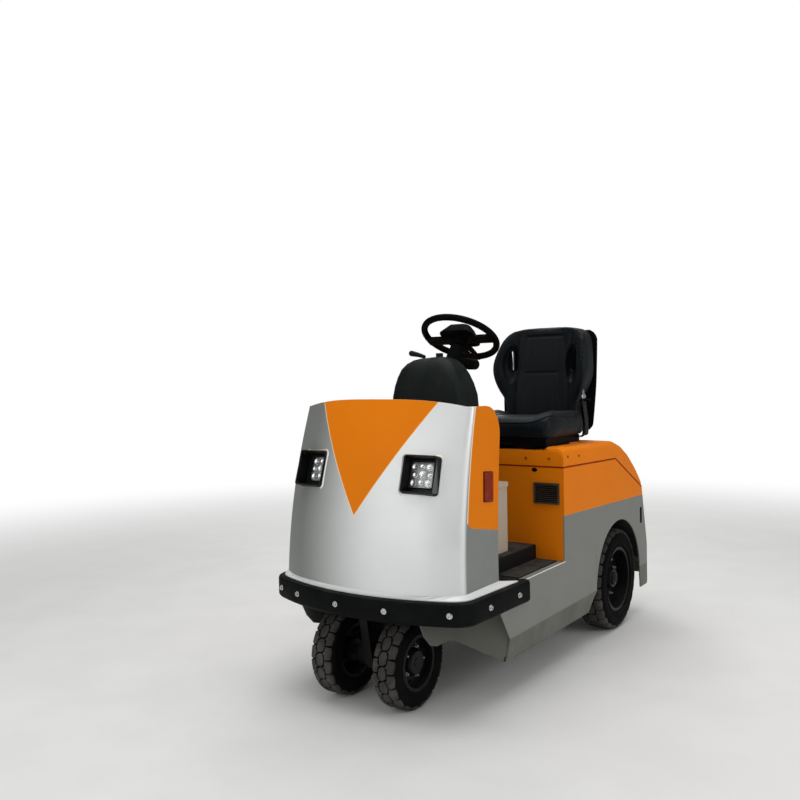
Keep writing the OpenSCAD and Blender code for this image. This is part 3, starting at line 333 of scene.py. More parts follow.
def moulded(name, colour, size=520.0, strength=0.35, roughness=0.55, dust_top=0.5, low=0.0, upward=0.05,
            specular=0.4, worn=(0.09, 0.09, 0.09), wear=0.35, depth=0.0006):
    """Moulded plastic or rubber with a pebbled grain, scuffed edges and dust."""
    f = Finish(name, roughness, specular=specular)
    g = f.g
    grain = f.use(GRAIN, Size=size)
    lighter = tuple(c * 1.25 + 0.0008 for c in colour)
    darker = tuple(c * 0.75 for c in colour)
    edges = f.use(WORN_EDGES, Radius=0.0015, Wear=wear, Break_Up=80.0)
    dust = f.use(DUST, Top=dust_top, Low=low, Upward=upward, Patch_Size=12.0)["Mask"]
    base = g.mix(edges["Mask"], g.mix(grain["Shade"], darker, lighter), worn)
    gloss = g.ramp(grain["Shade"], 0.0, 1.0, roughness - 0.06, roughness + 0.06)
    f.set(Base_Color=g.mix(dust, base, GROUND_DUST), Roughness=g.plus(gloss, g.times(dust, 0.2)))
    f.bump(grain["Height"], strength, depth, edges["Normal"])
    return f.material


# Paint fields: distances in metres, as sockets

WEDGE_TIP_Z, WEDGE_SLOPE = 0.794, 0.299 / 0.458
CORNER = {"x": 0.005, "z": 0.756, "lean": 0.1317, "curve": 0.1998}
FIELD_SIDE = 0.38
FIELD_FOOT = ((-0.257, 0.714), (-0.028, 0.754), (-0.005, 0.771))
PAINT_LINE = ((-1.926, 0.666), (-0.789, 0.699))
SILL_CREASE_Z = 0.271


def above_line(g, along, height, start, end):
    """How far the height lies above the line from start to end, both (along, height)."""
    slope = (end[1] - start[1]) / (end[0] - start[0])
    return g.minus(height, g.math("MULTIPLY_ADD", along, slope, start[1] - slope * start[0]))


def stations(g):
    """Station from the front axle, distance to the left, distance from the middle and height."""
    x, y, z = g.split(g.place())
    return g.minus(x, FRONT_AXLE), y, g.math("ABSOLUTE", y), z


def on_outer_skin(g, station, y):
    """1 on the cowl's outer face, 0 on its edges and inside."""
    normal = g.split(g.normal())
    away = g.plus(g.times(normal["X"], g.plus(station, 0.32)), g.times(normal["Y"], y))
    return g.above(away, 0.05, 0.02)


def wedge_depth(g, side, z):
    """How far a point lies inside the V on the front."""
    return g.minus(g.times(g.minus(z, WEDGE_TIP_Z), WEDGE_SLOPE), side)


def behind_corner(g, station, z):
    """How far a point lies behind the cowl's front corner, which leans back in a curve."""
    rise = g.minus(z, CORNER["z"])
    back = g.times(rise, g.math("MULTIPLY_ADD", rise, CORNER["curve"], CORNER["lean"]))
    return g.minus(g.minus(CORNER["x"], back), station)


def cowl_paint_mask(g):
    """Orange: the V on the front and the field on each side panel."""
    station, y, side, z = stations(g)
    field = g.times(g.inside(behind_corner(g, station, z)), g.above(side, FIELD_SIDE))
    for start, end in zip(FIELD_FOOT, FIELD_FOOT[1:]):
        field = g.times(field, g.inside(above_line(g, station, z, start, end)))
    both = g.most(g.inside(wedge_depth(g, side, z)), field)
    return g.times(both, on_outer_skin(g, station, y))


def cowl_line_and_highlight_mask(g):
    """The pale line that borders the V, a painted highlight along the front edge of the side fields, and a painted
    highlight on the upper rim where it faces up.
    """
    station, y, side, z = stations(g)
    wedge = g.below(g.math("ABSOLUTE", g.plus(wedge_depth(g, side, z), 0.0012)), 0.0026)
    wedge = g.times(wedge, g.below(side, 0.36))
    # Painted highlight along the front edge of each side field
    field = g.below(g.math("ABSOLUTE", g.minus(behind_corner(g, station, z), 0.0026)), 0.0034)
    field = g.times(g.times(field, g.above(z, 0.776)), g.above(side, FIELD_SIDE))
    lines = g.times(g.most(wedge, field), on_outer_skin(g, station, y))
    # Painted highlight on the upper rim, wherever it faces up
    rim = g.times(g.above(g.split(g.normal())["Z"], 0.55, 0.25), g.above(z, 0.80, 0.01))
    return g.most(lines, rim)


def body_paint_mask(g):
    """Orange above the paint line of the body sides and rear wall."""
    station, _, _, z = stations(g)
    return g.inside(above_line(g, station, z, *PAINT_LINE))


def lower_band_mask(g):
    """The lower band of the sill, below its crease, darker in uneven patches."""
    return g.times(g.below(stations(g)[3], SILL_CREASE_Z, 0.006), g.ramp(g.noise(9.0, 4.0), 0.2, 0.75, 0.55, 0.95))


def lamp_side_painted_light(g):
    """The outer side of the headlamp boxes, paler than the same black plastic elsewhere: painted light."""
    return g.above(stations(g)[2], 0.3525, 0.001)


MATERIALS = {
    "silver_paint": painted("silver paint with orange fields", SILVER, aslant=SILVER_PAINTED_SHADE, metallic=0.5,
                            roughness=0.5, mask=cowl_paint_mask, line=cowl_line_and_highlight_mask, other=ORANGE, flake=0.35,
                            spread=0.04, wear=0.2, upward=0.05, low=0.08, dust_top=0.7),
    "body_paint": painted("grey body paint", BODY_GREY_WITH_PAINTED_SHADE, mask=body_paint_mask, other=ORANGE, line=lower_band_mask,
                          line_colour=LOWER_BAND, low=0.12, dust_top=0.5, spread=0.05, wear=0.3, upward=0.1,
                          roughness=0.42),
    "orange_paint": painted("orange paint", ORANGE, bare=(0.45, 0.12, 0.02), spread=0.04, wear=0.25, upward=0.05,
                            low=0.05),
    "ledge_paint": painted("pale silver ledge paint", (0.84, 0.86, 0.85), metallic=0.25, roughness=0.38,
                           spread=0.04, wear=0.3, upward=0.04, low=0.04, bare=(0.6, 0.6, 0.6)),
    "well_paint": painted("wheel-well paint", (0.115, 0.118, 0.102), roughness=0.55, low=0.2, upward=0.1,
                          specular=0.05),
    "frame_paint": painted("chassis paint", (0.035, 0.036, 0.036), roughness=0.55, upward=0.15, coat=0.0,
                           specular=0.1),
    "dark_panel": painted("black panel paint", (0.009, 0.009, 0.0095), roughness=0.55, low=0.15, coat=0.0,
                          bare=(0.05, 0.05, 0.05), specular=0.08),
    "dark_steel": painted("black steel paint", (0.003, 0.003, 0.0032), roughness=0.5, low=0.05, upward=0.08,
                          coat=0.03, bare=(0.05, 0.049, 0.047), specular=0.06),
    "rim_paint": painted("wheel rim paint", (0.003, 0.003, 0.0033), roughness=0.4, low=0.04, dust_top=0.55,
                         upward=0.04, bare=(0.035, 0.035, 0.035), wear=0.35, coat=0.08, specular=0.1),
    # Stowage box: grey paint with a beige tint that is a painted reflection of the orange paint round it
    "box_paint": painted("stowage box paint", (0.44, 0.37, 0.29), roughness=0.45, upward=0.1, low=0.05, wear=0.4),
    "battery_case": painted("battery case paint", (0.04, 0.045, 0.055), roughness=0.5, upward=0.3, low=0.15,
                            specular=0.1),
    "bumper_rubber": moulded("bumper rubber", (0.0026, 0.0032, 0.0034), size=420.0, low=0.06, dust_top=0.6,
                             upward=0.10, worn=(0.02, 0.02, 0.02), specular=0.05, wear=0.2),
    "black_plastic": moulded("black moulded plastic", (0.0088, 0.0112, 0.0112), size=650.0, roughness=0.5,
                             upward=0.06, specular=0.1, worn=(0.045, 0.048, 0.048)),
    "wheel_grip": moulded("grained grip", (0.0022, 0.0023, 0.0022), size=900.0, roughness=0.65, upward=0.03,
                          specular=0.03, worn=(0.012, 0.012, 0.012)),
    "floor_rubber": moulded("floor rubber", (0.012, 0.0115, 0.011), size=240.0, strength=0.9, roughness=0.8,
                            upward=0.3, low=0.05, depth=0.0016, specular=0.08),
    "grille_plastic": moulded("grille plastic", (0.055, 0.045, 0.032), size=700.0, upward=0.15, low=0.05,
                              specular=0.1),
    "tyre_rubber": moulded("tyre rubber", (0.0024, 0.0025, 0.0025), size=380.0, roughness=0.75, low=0.03,
                           dust_top=0.4, wear=0.4, worn=(0.025, 0.024, 0.022), specular=0.04),
}
TREAD_FACE = moulded("dusty tread rubber", (0.016, 0.016, 0.015), size=300.0, strength=0.5, roughness=0.85,
                     low=0.5, dust_top=0.75, wear=0.7, worn=(0.09, 0.088, 0.08), specular=0.04)


def make_seat_cover():
    """Bluish black vinyl with a fine thread."""
    f = Finish("seat cover", 0.5, specular=0.16)
    g = f.g
    grain = f.use(GRAIN, Size=760.0, Unevenness=0.35)
    dust = f.use(DUST, Top=0.2, Low=0.0, Upward=0.1, Patch_Size=7.0)["Mask"]
    colour = g.mix(grain["Shade"], (0.0014, 0.0034, 0.0050), (0.0026, 0.0052, 0.0074))
    threaded = g.mix(g.times(g.noise(1500.0, 1.0), 0.2), colour, (0.010, 0.014, 0.018))
    f.set(Base_Color=g.mix(dust, threaded, (0.07, 0.068, 0.062)), Sheen_Weight=0.03, Sheen_Roughness=0.4,
          Roughness=g.ramp(grain["Shade"], 0.0, 1.0, 0.40, 0.50))
    f.bump(grain["Height"], 0.45, 0.0006)
    return f.material


def make_lens(name, colour):
    """Coloured lamp lens with fine ribs, each rib's trough darker: painted shade."""
    f = Finish(name, 0.25, specular=0.08, coat=0.08, coat_roughness=0.08)
    g = f.g
    rib = g.math("SINE", g.times(stations(g)[3], 900.0))
    tint = g.grey(g.ramp(g.noise(30.0), 0.3, 0.7, 0.8, 1.1))
    # Painted shade: the colour darkens in each rib's trough
    dark = tuple(c * 0.45 for c in colour)
    f.set(Base_Color=g.mix(1.0, g.mix(g.ramp(rib, -1, 1), dark, colour), tint, "MULTIPLY"))
    f.bump(rib, 0.35, 0.0006)
    return f.material


def make_clear_cover():
    """Clear pane, a little dull in patches."""
    f = Finish("clear lamp cover", 0.04)
    f.set(Transmission_Weight=1.0, IOR=1.25, Base_Color=(0.97, 0.98, 0.98), Alpha=0.3,
          Roughness=f.g.ramp(f.g.noise(40.0), 0.3, 0.8, 0.02, 0.09))
    return f.material


def bright_metal(name, colour, roughness, dust=0.2):
    """Plated or bare metal with dull stains and grime."""
    f = Finish(name, roughness, metallic=1.0)
    g = f.g
    stain = g.noise(90.0, 4.0)
    grime = f.use(DUST, Top=0.6, Low=dust, Upward=0.15, Patch_Size=30.0)["Mask"]
    edges = f.use(WORN_EDGES, Radius=0.0006, Wear=0.3)
    dull = tuple(c * 0.72 for c in colour)
    f.set(Base_Color=g.mix(grime, g.mix(g.ramp(stain, 0.35, 0.7), colour, dull), (0.2, 0.19, 0.17)),
          Roughness=g.plus(g.ramp(stain, 0.3, 0.8, roughness * 0.7, roughness * 1.4), g.times(grime, 0.4)))
    f.bump(stain, 0.08, 0.0003, edges["Normal"])
    return f.material


def make_cast_iron():
    """Black-painted casting with polished edges and a little rust."""
    f = Finish("cast iron, painted black", 0.55)
    g = f.g
    lumps = g.noise(160.0, 5.0, 0.7)
    rust = g.ramp(g.noise(24.0, 6.0, 0.7), 0.56, 0.74)
    edges = f.use(WORN_EDGES, Radius=0.002, Wear=0.9, Break_Up=40.0)
    colour = g.mix(edges["Mask"], (0.03, 0.03, 0.032), (0.16, 0.15, 0.14))
    f.set(Base_Color=g.mix(g.times(rust, 0.55), colour, (0.11, 0.045, 0.02)),
          Roughness=g.ramp(lumps, 0.3, 0.7, 0.45, 0.75))
    f.bump(lumps, 0.4, 0.0012, edges["Normal"])
    return f.material


MATERIALS.update({
    "seat_cover": make_seat_cover(),
    "marker_lens": make_lens("side marker lens", (0.34, 0.026, 0.002)),
    "tail_lens": make_lens("tail lamp lens", (0.42, 0.008, 0.008)),
    "lamp_glass": make_clear_cover(),
    "buckle_red": moulded("red buckle plastic", (0.42, 0.012, 0.008), size=900.0, roughness=0.35,
                          worn=(0.5, 0.05, 0.03)),
    "coupling_iron": make_cast_iron(),
    "pin_steel": bright_metal("zinc-plated steel", (0.62, 0.62, 0.60), 0.32),
})
BOLT_STEEL = bright_metal("bright bolt steel", (0.72, 0.72, 0.71), 0.26, dust=0.05)
NUT_STEEL = bright_metal("wheel nut steel", (0.42, 0.42, 0.41), 0.34, dust=0.3)
CHROME = bright_metal("bright lamp trim", (0.88, 0.89, 0.89), 0.16, dust=0.0)
LAMP_PLATE = bright_metal("lamp plate", (0.30, 0.31, 0.31), 0.42, dust=0.0)
# The boxes' outer sides paler than their fronts: painted light
LAMP_BOX = painted("lamp box plastic", (0.0045, 0.0045, 0.0048), roughness=0.4, specular=0.3, low=0.0, upward=0.05,
                   coat=0.0, bare=(0.04, 0.04, 0.04), mask=lamp_side_painted_light, other=(0.11, 0.115, 0.115), spread=0.1)
# A pale strip that stands for the highlight on the sills' top edges: painted highlight
SILL_EDGE_HIGHLIGHT = painted("painted sill-edge highlight", (0.80, 0.81, 0.79), roughness=0.35, spread=0.04, wear=0.3, low=0.05,
                    upward=0.05, specular=0.3, bare=(0.5, 0.5, 0.5))
SEAL = moulded("red-brown rubber seal", (0.24, 0.018, 0.003), size=600.0, roughness=0.6, upward=0.03, specular=0.05,
               worn=(0.16, 0.04, 0.015))
PLUG = moulded("orange-brown plugs", (0.30, 0.055, 0.006), size=900.0, roughness=0.5, upward=0.03, specular=0.05,
               worn=(0.4, 0.1, 0.01))
STRAP = moulded("belt webbing", (0.004, 0.004, 0.0045), size=1100.0, strength=0.7, roughness=0.7)
# Welts a little paler than the seat cover: real piping with a painted highlight along the seams
WELT_WITH_PAINTED_HIGHLIGHT = moulded("seat welt", (0.0045, 0.0065, 0.0085), size=900.0, strength=0.2, roughness=0.45, upward=0.03,
               specular=0.15, worn=(0.02, 0.022, 0.024))

# CAD nodes that take another finish than their slot's, and those whose edges are rounded, with the width in mm
REPAINTED = {"base_ledge": "ledge_paint", "turntable": "rim_paint", "wheel_well": "well_paint",
             "steering_wheel": "wheel_grip", "column_shroud": "wheel_grip"}
ROUNDED = {"base_ledge": 2.5, "sills": 1.5, "body_sides": 1.5, "rear_wall": 1.5, "lid": 2.0, "dash_binnacle": 2.0,
           "stowage_box": 1.5, "raised_floor": 2.0, "step_mats": 1.5, "seat_base": 1.5, "column_shroud": 1.0,
           "bumper": 2.0, "box_front": 1.0, "tow_coupling": 1.5}

for entry in frame["record"]["subparts"]:
    mesh = CAD[entry["node"]].data
    mesh.materials.clear()
    mesh.materials.append(MATERIALS[REPAINTED.get(entry["node"], entry["material_slot"])])


# Meshes

def link(name, mesh, material=None):
    """A new piece in the scene."""
    piece = bpy.data.objects.new(name, mesh)
    bpy.context.scene.collection.objects.link(piece)
    if material:
        mesh.materials.append(material)
    return piece


def settle(piece, body, replaces=(), smooth=32.0):
    """Shade a finished piece, let it ride on its body and hide the CAD nodes that it replaces."""
    if smooth:
        piece.data.shade_smooth()
        piece.data.set_sharp_from_angle(angle=math.radians(smooth))
    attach(piece, body)
    if replaces:
        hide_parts(*replaces)


def baked(piece):
    """Turns a piece into the plain mesh that its modifiers make."""
    bpy.context.view_layer.update()
    shown = piece.evaluated_get(bpy.context.evaluated_depsgraph_get())
    mesh = bpy.data.meshes.new_from_object(shown)
    piece.modifiers.clear()
    piece.data = mesh


def modified(piece, *modifiers):
    """Adds modifiers given as (kind, settings) and bakes them."""
    for kind, settings in modifiers:
        modifier = piece.modifiers.new(kind.lower(), kind)
        for key, value in settings.items():
            setattr(modifier, key, value)
    baked(piece)


def sheet_mesh(name, rows, caps=False):
    """Quads through closed rows of points; caps fills the first and last row."""
    n = len(rows[0])
    faces = []
    for i in range(len(rows) - 1):
        for j in range(n):
            k = (j + 1) % n
            faces.append((i * n + j, i * n + k, (i + 1) * n + k, (i + 1) * n + j))
    if caps:
        faces.append(tuple(range(n - 1, -1, -1)))
        faces.append(tuple(range((len(rows) - 1) * n, len(rows) * n)))
    mesh = bpy.data.meshes.new(name)
    mesh.from_pydata([tuple(p) for row in rows for p in row], [], faces)
    outward(mesh)
    return mesh


def outward(mesh):
    """Merge doubles and turn all faces of closed shells outward."""
    bm = bmesh.new()
    bm.from_mesh(mesh)
    bmesh.ops.remove_doubles(bm, verts=bm.verts, dist=1e-6)
    bmesh.ops.recalc_face_normals(bm, faces=bm.faces)
    if bm.calc_volume(signed=True) < 0:
        bmesh.ops.reverse_faces(bm, faces=bm.faces)
    bm.to_mesh(mesh)
    bm.free()
    mesh.update()


def mesh_of(name, bm):
    """The finished mesh of a bmesh, which is freed."""
    mesh = bpy.data.meshes.new(name)
    bm.to_mesh(mesh)
    bm.free()
    return mesh


def joined(name, meshes, material=None):
    """One mesh of several."""
    bm = bmesh.new()
    for mesh in meshes:
        bm.from_mesh(mesh)
    return link(name, mesh_of(name, bm), material)


def shell(name, rows, frame):
    """Closed shell through rows of points that are given in a local frame."""
    return sheet_mesh(name, [[frame @ p for p in row] for row in rows], caps=True)


def drop(*elements):
    """Removes elements that were only copied or cut with."""
    for element in elements:
        bpy.data.objects.remove(element, do_unlink=True)


def cut_by(piece, cutters):
    """Cuts the openings that the cutters fill and drops the cutters."""
    for cutter in cutters:
        modifier = piece.modifiers.new("opening", "BOOLEAN")
        modifier.operation, modifier.solver, modifier.object = "DIFFERENCE", "EXACT", cutter
    baked(piece)
    drop(*cutters)


def spun(name, profile, centre, steps=96):
    """Closed profile of (along the axle, radius) turned about an axle along Y through the centre."""
    rows = [[centre + Vector((r * math.cos(a), w, r * math.sin(a))) for w, r in profile] for a in circle(steps)]
    return sheet_mesh(name, rows + rows[:1])


def round_path(width, height, radius, steps=6):
    """Rectangle with round corners, as points (across, up)."""
    points = []
    for cx, cy, start in ((1, 1, 0), (-1, 1, 90), (-1, -1, 180), (1, -1, 270)):
        for i in range(steps + 1):
            a = math.radians(start + 90 * i / steps)
            points.append((cx * (width / 2 - radius) + radius * math.cos(a),
                           cy * (height / 2 - radius) + radius * math.sin(a)))
    return points


def round_outline(*sizes):
    """The same for sizes in millimetres, as points in metres."""
    return [(x * MM, y * MM) for x, y in round_path(*sizes)]


def ring(radius, z, count, x=0.0, y=0.0):
    """Points of a circle round Z at a height."""
    return [Vector((x + radius * math.cos(a), y + radius * math.sin(a), z)) for a in circle(count)]


def prism(name, outline, low, high, bevel=0.0):
    """Outline of (x, y) made solid from low to high along z, with bevelled edges."""
    bm = bmesh.new()
    base = [bm.verts.new((x, y, low)) for x, y in outline]
    top = [bm.verts.new((x, y, high)) for x, y in outline]
    n = len(outline)
    bm.faces.new(base[::-1])
    bm.faces.new(top)
    for i in range(n):
        bm.faces.new((base[i], base[(i + 1) % n], top[(i + 1) % n], top[i]))
    bmesh.ops.recalc_face_normals(bm, faces=bm.faces)
    if bevel:
        edges = [e for e in bm.edges if e.calc_face_angle(0) > 0.5]
        bmesh.ops.bevel(bm, geom=edges, offset=bevel, segments=2, profile=0.6, affect="EDGES", clamp_overlap=True)
    return mesh_of(name, bm)


def placed_prism(name, outline, low, high, frame, bevel=0.0):
    """A prism moved to a frame."""
    mesh = prism(name, outline, low, high, bevel)
    mesh.transform(frame)
    outward(mesh)
    return mesh


def tube(name, path, radius, sides=12, closed=False):
    """Round bar along a path, its ends closed."""
    rows = []
    side = None
    n = len(path)
    for i, point in enumerate(path):
        before = path[i - 1] if closed or i else path[0]
        after = path[(i + 1) % n] if closed else path[min(i + 1, n - 1)]
        along = (after - before).normalized()
        if side is None:
            side = along.orthogonal().normalized()
        side = (side - along * side.dot(along)).normalized()
        other = along.cross(side)
        rows.append([point + side * (radius * math.cos(a)) + other * (radius * math.sin(a)) for a in circle(sides)])
    if closed:
        rows.append(rows[0])
    return sheet_mesh(name, rows, caps=not closed)


# Geometry Nodes

class Grower(Graph):
    """A Geometry Nodes tree with named inputs."""

    def __init__(self, name, inputs):
        super().__init__(bpy.data.node_groups.new(name, "GeometryNodeTree"))
        self.tree.is_modifier = True
        face = self.tree.interface
        face.new_socket("Geometry", in_out="INPUT", socket_type="NodeSocketGeometry")
        self.names = {}
        for label, kind, value in inputs:
            socket = face.new_socket(label, in_out="INPUT", socket_type="NodeSocket" + kind)
            if value is not None:
                socket.default_value = value
            self.names[label] = socket.identifier
        face.new_socket("Geometry", in_out="OUTPUT", socket_type="NodeSocketGeometry")
        self.given = self.tree.nodes.new("NodeGroupInput").outputs
        self.result = self.tree.nodes.new("NodeGroupOutput").inputs[0]

    def grow(self, kind, inputs=None, **settings):
        """First output of a geometry node."""
        return self.node("GeometryNode" + kind, inputs, **settings).outputs[0]

    def copies(self, points, **inputs):
        """Copies of the given element on points, made real, in the given material."""
        element = self.node("GeometryNodeObjectInfo", {"Object": self.given["Element"]}).outputs["Geometry"]
        placed = self.grow("InstanceOnPoints", {"Points": points, "Instance": element, **inputs})
        real = self.grow("RealizeInstances", {"Geometry": placed})
        return self.grow("SetMaterial", {"Geometry": real, "Material": self.given["Material"]})

    def end(self, geometry):
        self.tree.links.new(geometry, self.result)
        return self

    def on(self, piece, **values):
        modifier = piece.modifiers.new(self.tree.name, "NODES")
        modifier.node_group = self.tree
        for label, value in values.items():
            modifier[self.names[label.replace("_", " ")]] = value


def make_smoothing():
    """Merges the loose triangles of a CAD node and shades its curved faces smooth."""
    t = Grower("smooth shading", [("Merge Distance", "Float", 0.00002), ("Sharp Angle", "Float", 0.5)])
    merged = t.grow("MergeByDistance", {"Geometry": t.given["Geometry"], "Distance": t.given["Merge Distance"]})
    smooth = t.grow("SetShadeSmooth", {"Geometry": merged, "Shade Smooth": True}, domain="FACE")
    angle = t.node("GeometryNodeInputMeshEdgeAngle").outputs["Unsigned Angle"]
    sharp = t.node("FunctionNodeCompare", {"A": angle, "B": t.given["Sharp Angle"]}, operation="GREATER_THAN")
    return t.end(t.grow("SetShadeSmooth", {"Geometry": smooth, "Selection": sharp.outputs[0], "Shade Smooth": False},
                        domain="EDGE"))


def make_wheel_ring():
    """Copies of one element spaced evenly round an axle along Y, joined to what is there."""
    t = Grower("ring round an axle", [("Element", "Object", None), ("Count", "Int", 28), ("Start", "Float", 0.0),
                                      ("Centre", "Vector", (0, 0, 0)), ("Material", "Material", None)])
    share = t.math("DIVIDE", t.plus(t.grow("InputIndex"), t.given["Start"]), t.given["Count"])
    turn = t.node("CombineXYZ", {"Y": t.times(share, 2 * math.pi)}).outputs[0]
    points = t.grow("SetPosition", {"Geometry": t.grow("Points", {"Count": t.given["Count"]}),
                                    "Position": t.given["Centre"]})
    both = t.node("GeometryNodeJoinGeometry")
    for geometry in (t.copies(points, Rotation=turn), t.given["Geometry"]):
        t.tree.links.new(geometry, both.inputs[0])
    return t.end(both.outputs[0])


def make_set_out():
    """Copies of one element on the vertices of a mesh, each turned to its "facing" attribute, with a random roll."""
    t = Grower("set out on points", [("Element", "Object", None), ("Scale", "Float", 1.0), ("Seed", "Int", 7),
                                     ("Material", "Material", None)])
    facing = t.grow("InputNamedAttribute", {"Name": "facing"}, data_type="FLOAT_VECTOR")
    aligned = t.node("FunctionNodeAlignEulerToVector", {"Vector": facing}, axis="Z").outputs[0]
    roll = t.node("FunctionNodeRandomValue", {2: 0.0, 3: 6.28, "Seed": t.given["Seed"]}, data_type="FLOAT").outputs[1]
    spin = t.node("CombineXYZ", {"Z": roll}).outputs[0]
    rolled = t.node("FunctionNodeRotateEuler", {"Rotation": aligned, "Rotate By": spin}, space="LOCAL").outputs[0]
    points = t.grow("MeshToPoints", {"Mesh": t.given["Geometry"]})
    return t.end(t.copies(points, Rotation=rolled, Scale=t.given["Scale"]))


SMOOTHING = make_smoothing()
WHEEL_RING = make_wheel_ring()
SET_OUT = make_set_out()


def set_out(name, element, places, material, body, scale=1.0):
    """Puts copies of an element at places given as (point, direction)."""
    mesh = bpy.data.meshes.new(name)
    mesh.from_pydata([tuple(p) for p, _ in places], [], [])
    facing = mesh.attributes.new("facing", "FLOAT_VECTOR", "POINT")
    for i, (_, direction) in enumerate(places):
        facing.data[i].vector = direction
    piece = link(name, mesh)
    SET_OUT.on(piece, Element=element, Scale=scale, Material=material)
    baked(piece)
    settle(piece, body)


def hidden_element(name, mesh):
    """An element that is only copied, never shown itself."""
    element = link(name, mesh)
    element.hide_render = True
    return element


for name, node in CAD.items():
    SMOOTHING.on(node, Sharp_Angle=math.radians(28))
    if name in ROUNDED:
        edge = node.modifiers.new("rounded edges", "BEVEL")
        edge.width = ROUNDED[name] * MM
        edge.segments = 2
        edge.limit_method = "ANGLE"
        edge.angle_limit = math.radians(35)
        edge.harden_normals = True


# Screws, nuts and plugs: each drawn once and set out on points

def turned_head(name, profile, sides=24, socket=None):
    """Screw head turned about Z from (radius, height) points, with a hexagon socket of (radius, depth)."""
    rows = [ring(r, z, sides) for r, z in profile]
    if socket:
        radius, depth = socket
        top = profile[-1][1]
        for share, z in ((1.0, top), (0.98, top - depth)):
            row = []
            for a in circle(sides):
                fold = (a + math.pi / 6) % (math.pi / 3) - math.pi / 6
                r = radius / math.cos(fold) * 0.95
                row.append(Vector((r * math.cos(a) * share, r * math.sin(a) * share, z)))
            rows.append(row)
    return sheet_mesh(name, rows, caps=True)


BOLT_HEAD = ((0.012, -0.001), (0.0122, 0.0012), (0.0118, 0.0022), (0.0086, 0.0026), (0.0082, 0.0028), (0.0082, 0.0075),
             (0.0074, 0.0086), (0.0052, 0.0088))
WHEEL_NUT = ((0.0095, 0.0), (0.0098, 0.0015), (0.0078, 0.0016), (0.0078, 0.0080), (0.0070, 0.0088), (0.0048, 0.0090),
             (0.0046, 0.0150), (0.0036, 0.0160))
LID_PLUG = ((0.0062, 0.0), (0.0064, 0.0012), (0.0054, 0.0021), (0.0030, 0.0023), (0.0026, 0.0012))


def bumper_bolts():
    """Socket-headed bolts on wide washers along the bumper."""
    element = hidden_element("bolt_head", turned_head("bolt_head", BOLT_HEAD, 28, (0.0040, 0.005)))
    height = 441
    places = []
    for y in (-430, -295, -55, 177, 430):
        places.append((at(208.0 - y * y / 2000, y, height), Vector((1, y / 1000, 0)).normalized()))
    for side in (-1, 1):
        for x in (-69, -300):
            places.append((at(x, side * (502 + 16 * (20 - x) / 413), height), Vector((0.04, side, 0)).normalized()))
    set_out("bumper_bolts", element, places, BOLT_STEEL, "chassis")
    drop(element)


bumper_bolts()


# Cowl: the same lines as its solid, drawn finer, with lamp openings and rounded edges

COWL = {"x": 180.0, "base": 508.0, "top": 1262.0, "crown": 32.0, "base_w": 914.0, "top_w": 862.0, "lean": 184.0,
        "rake": 90.0, "rear": -230.0, "bow": 1050.0, "turn": 36.0, "corner": 22.0, "round": 130.0, "wall": 5.0}
LAMP = {"x": 87.8, "y": 278.0, "z": 972.0, "w": 152.0, "h": 154.0, "turn": 4.0, "tip": 17.1}


def cowl_share(z):
    return (z - COWL["base"]) / (COWL["top"] - COWL["base"])


def cowl_front(z):
    s = cowl_share(z)
    return COWL["x"] - COWL["lean"] * (0.2 * s + 0.8 * s * s)


def cowl_half(z):
    return (COWL["base_w"] + (COWL["top_w"] - COWL["base_w"]) * cowl_share(z)) / 2


def cowl_rear(z):
    t = max(0.0, z - (COWL["top"] - COWL["crown"] - COWL["round"]))
    drop_in = COWL["round"] - math.sqrt(max(0.0, COWL["round"] ** 2 - t * t))
    return COWL["rear"] - COWL["rake"] * max(0.0, cowl_share(z)) ** 1.5 + drop_in


def cowl_edge(y):
    return COWL["top"] - COWL["crown"] * min(1.0, abs(y) / (COWL["top_w"] / 2)) ** 3


def cowl_bow(y, z):
    """How far the front face lies back at a distance from the middle."""
    beside = max(0.0, y / cowl_half(z) - 0.64) / 0.36
    return y * y / 2 / COWL["bow"] + COWL["turn"] * math.sqrt(max(0.0, 1 - cowl_share(z))) * beside ** 2


def cowl_half_plan(z, d, rear):
    """Half a level section at a depth below the skin: front face, rounded corner and side, as (x, y)."""
    face, corner, flank = 32, 18, 16
    h, r, f = cowl_half(z) - d, COWL["corner"] - d, cowl_front(z) - d
    yc = h - r
    a, b = (f - cowl_bow(yc, z), yc), (f - cowl_bow(h, z), h)
    c = (b[0] - r, h)
    points = [(f - cowl_bow(yc * i / face, z), yc * i / face) for i in range(face)]
    for i in range(corner + 1):
        t = i / corner
        points.append(tuple((1 - t) ** 2 * a[k] + 2 * t * (1 - t) * b[k] + t * t * c[k] for k in (0, 1)))
    return points + [(c[0] + (rear - c[0]) * i / flank, h) for i in range(1, flank + 1)]


def cowl_rows(d, count=56):
    """Rows of points from the foot to the upper edge, from the right rear edge round to the left."""
    rows = []
    reference = cowl_half_plan(COWL["base"], 0, COWL["rear"])
    for i in range(count + 1):
        v = 1 - (1 - i / count) ** 1.25
        half = []
        for j, (_, ref_y) in enumerate(reference):
            z = COWL["base"] + (cowl_edge(ref_y) - COWL["base"]) * v
            x, y = cowl_half_plan(z, d, cowl_rear(z))[j]
            half.append((x, y, z))
        rows.append([at(x, -y, z) for x, y, z in half[:0:-1]] + [at(x, y, z) for x, y, z in half])
    return rows


def lamp_frame(side):
    """Local frame of a headlamp's front: x to the outside, y up, z out of the face."""
    place = Matrix.Translation(at(LAMP["x"], LAMP["y"], LAMP["z"]))
    return mirrored(place @ rotation(LAMP["turn"], "Z") @ rotation(-LAMP["tip"], "Y") @ OUT_OF_FACE, side)


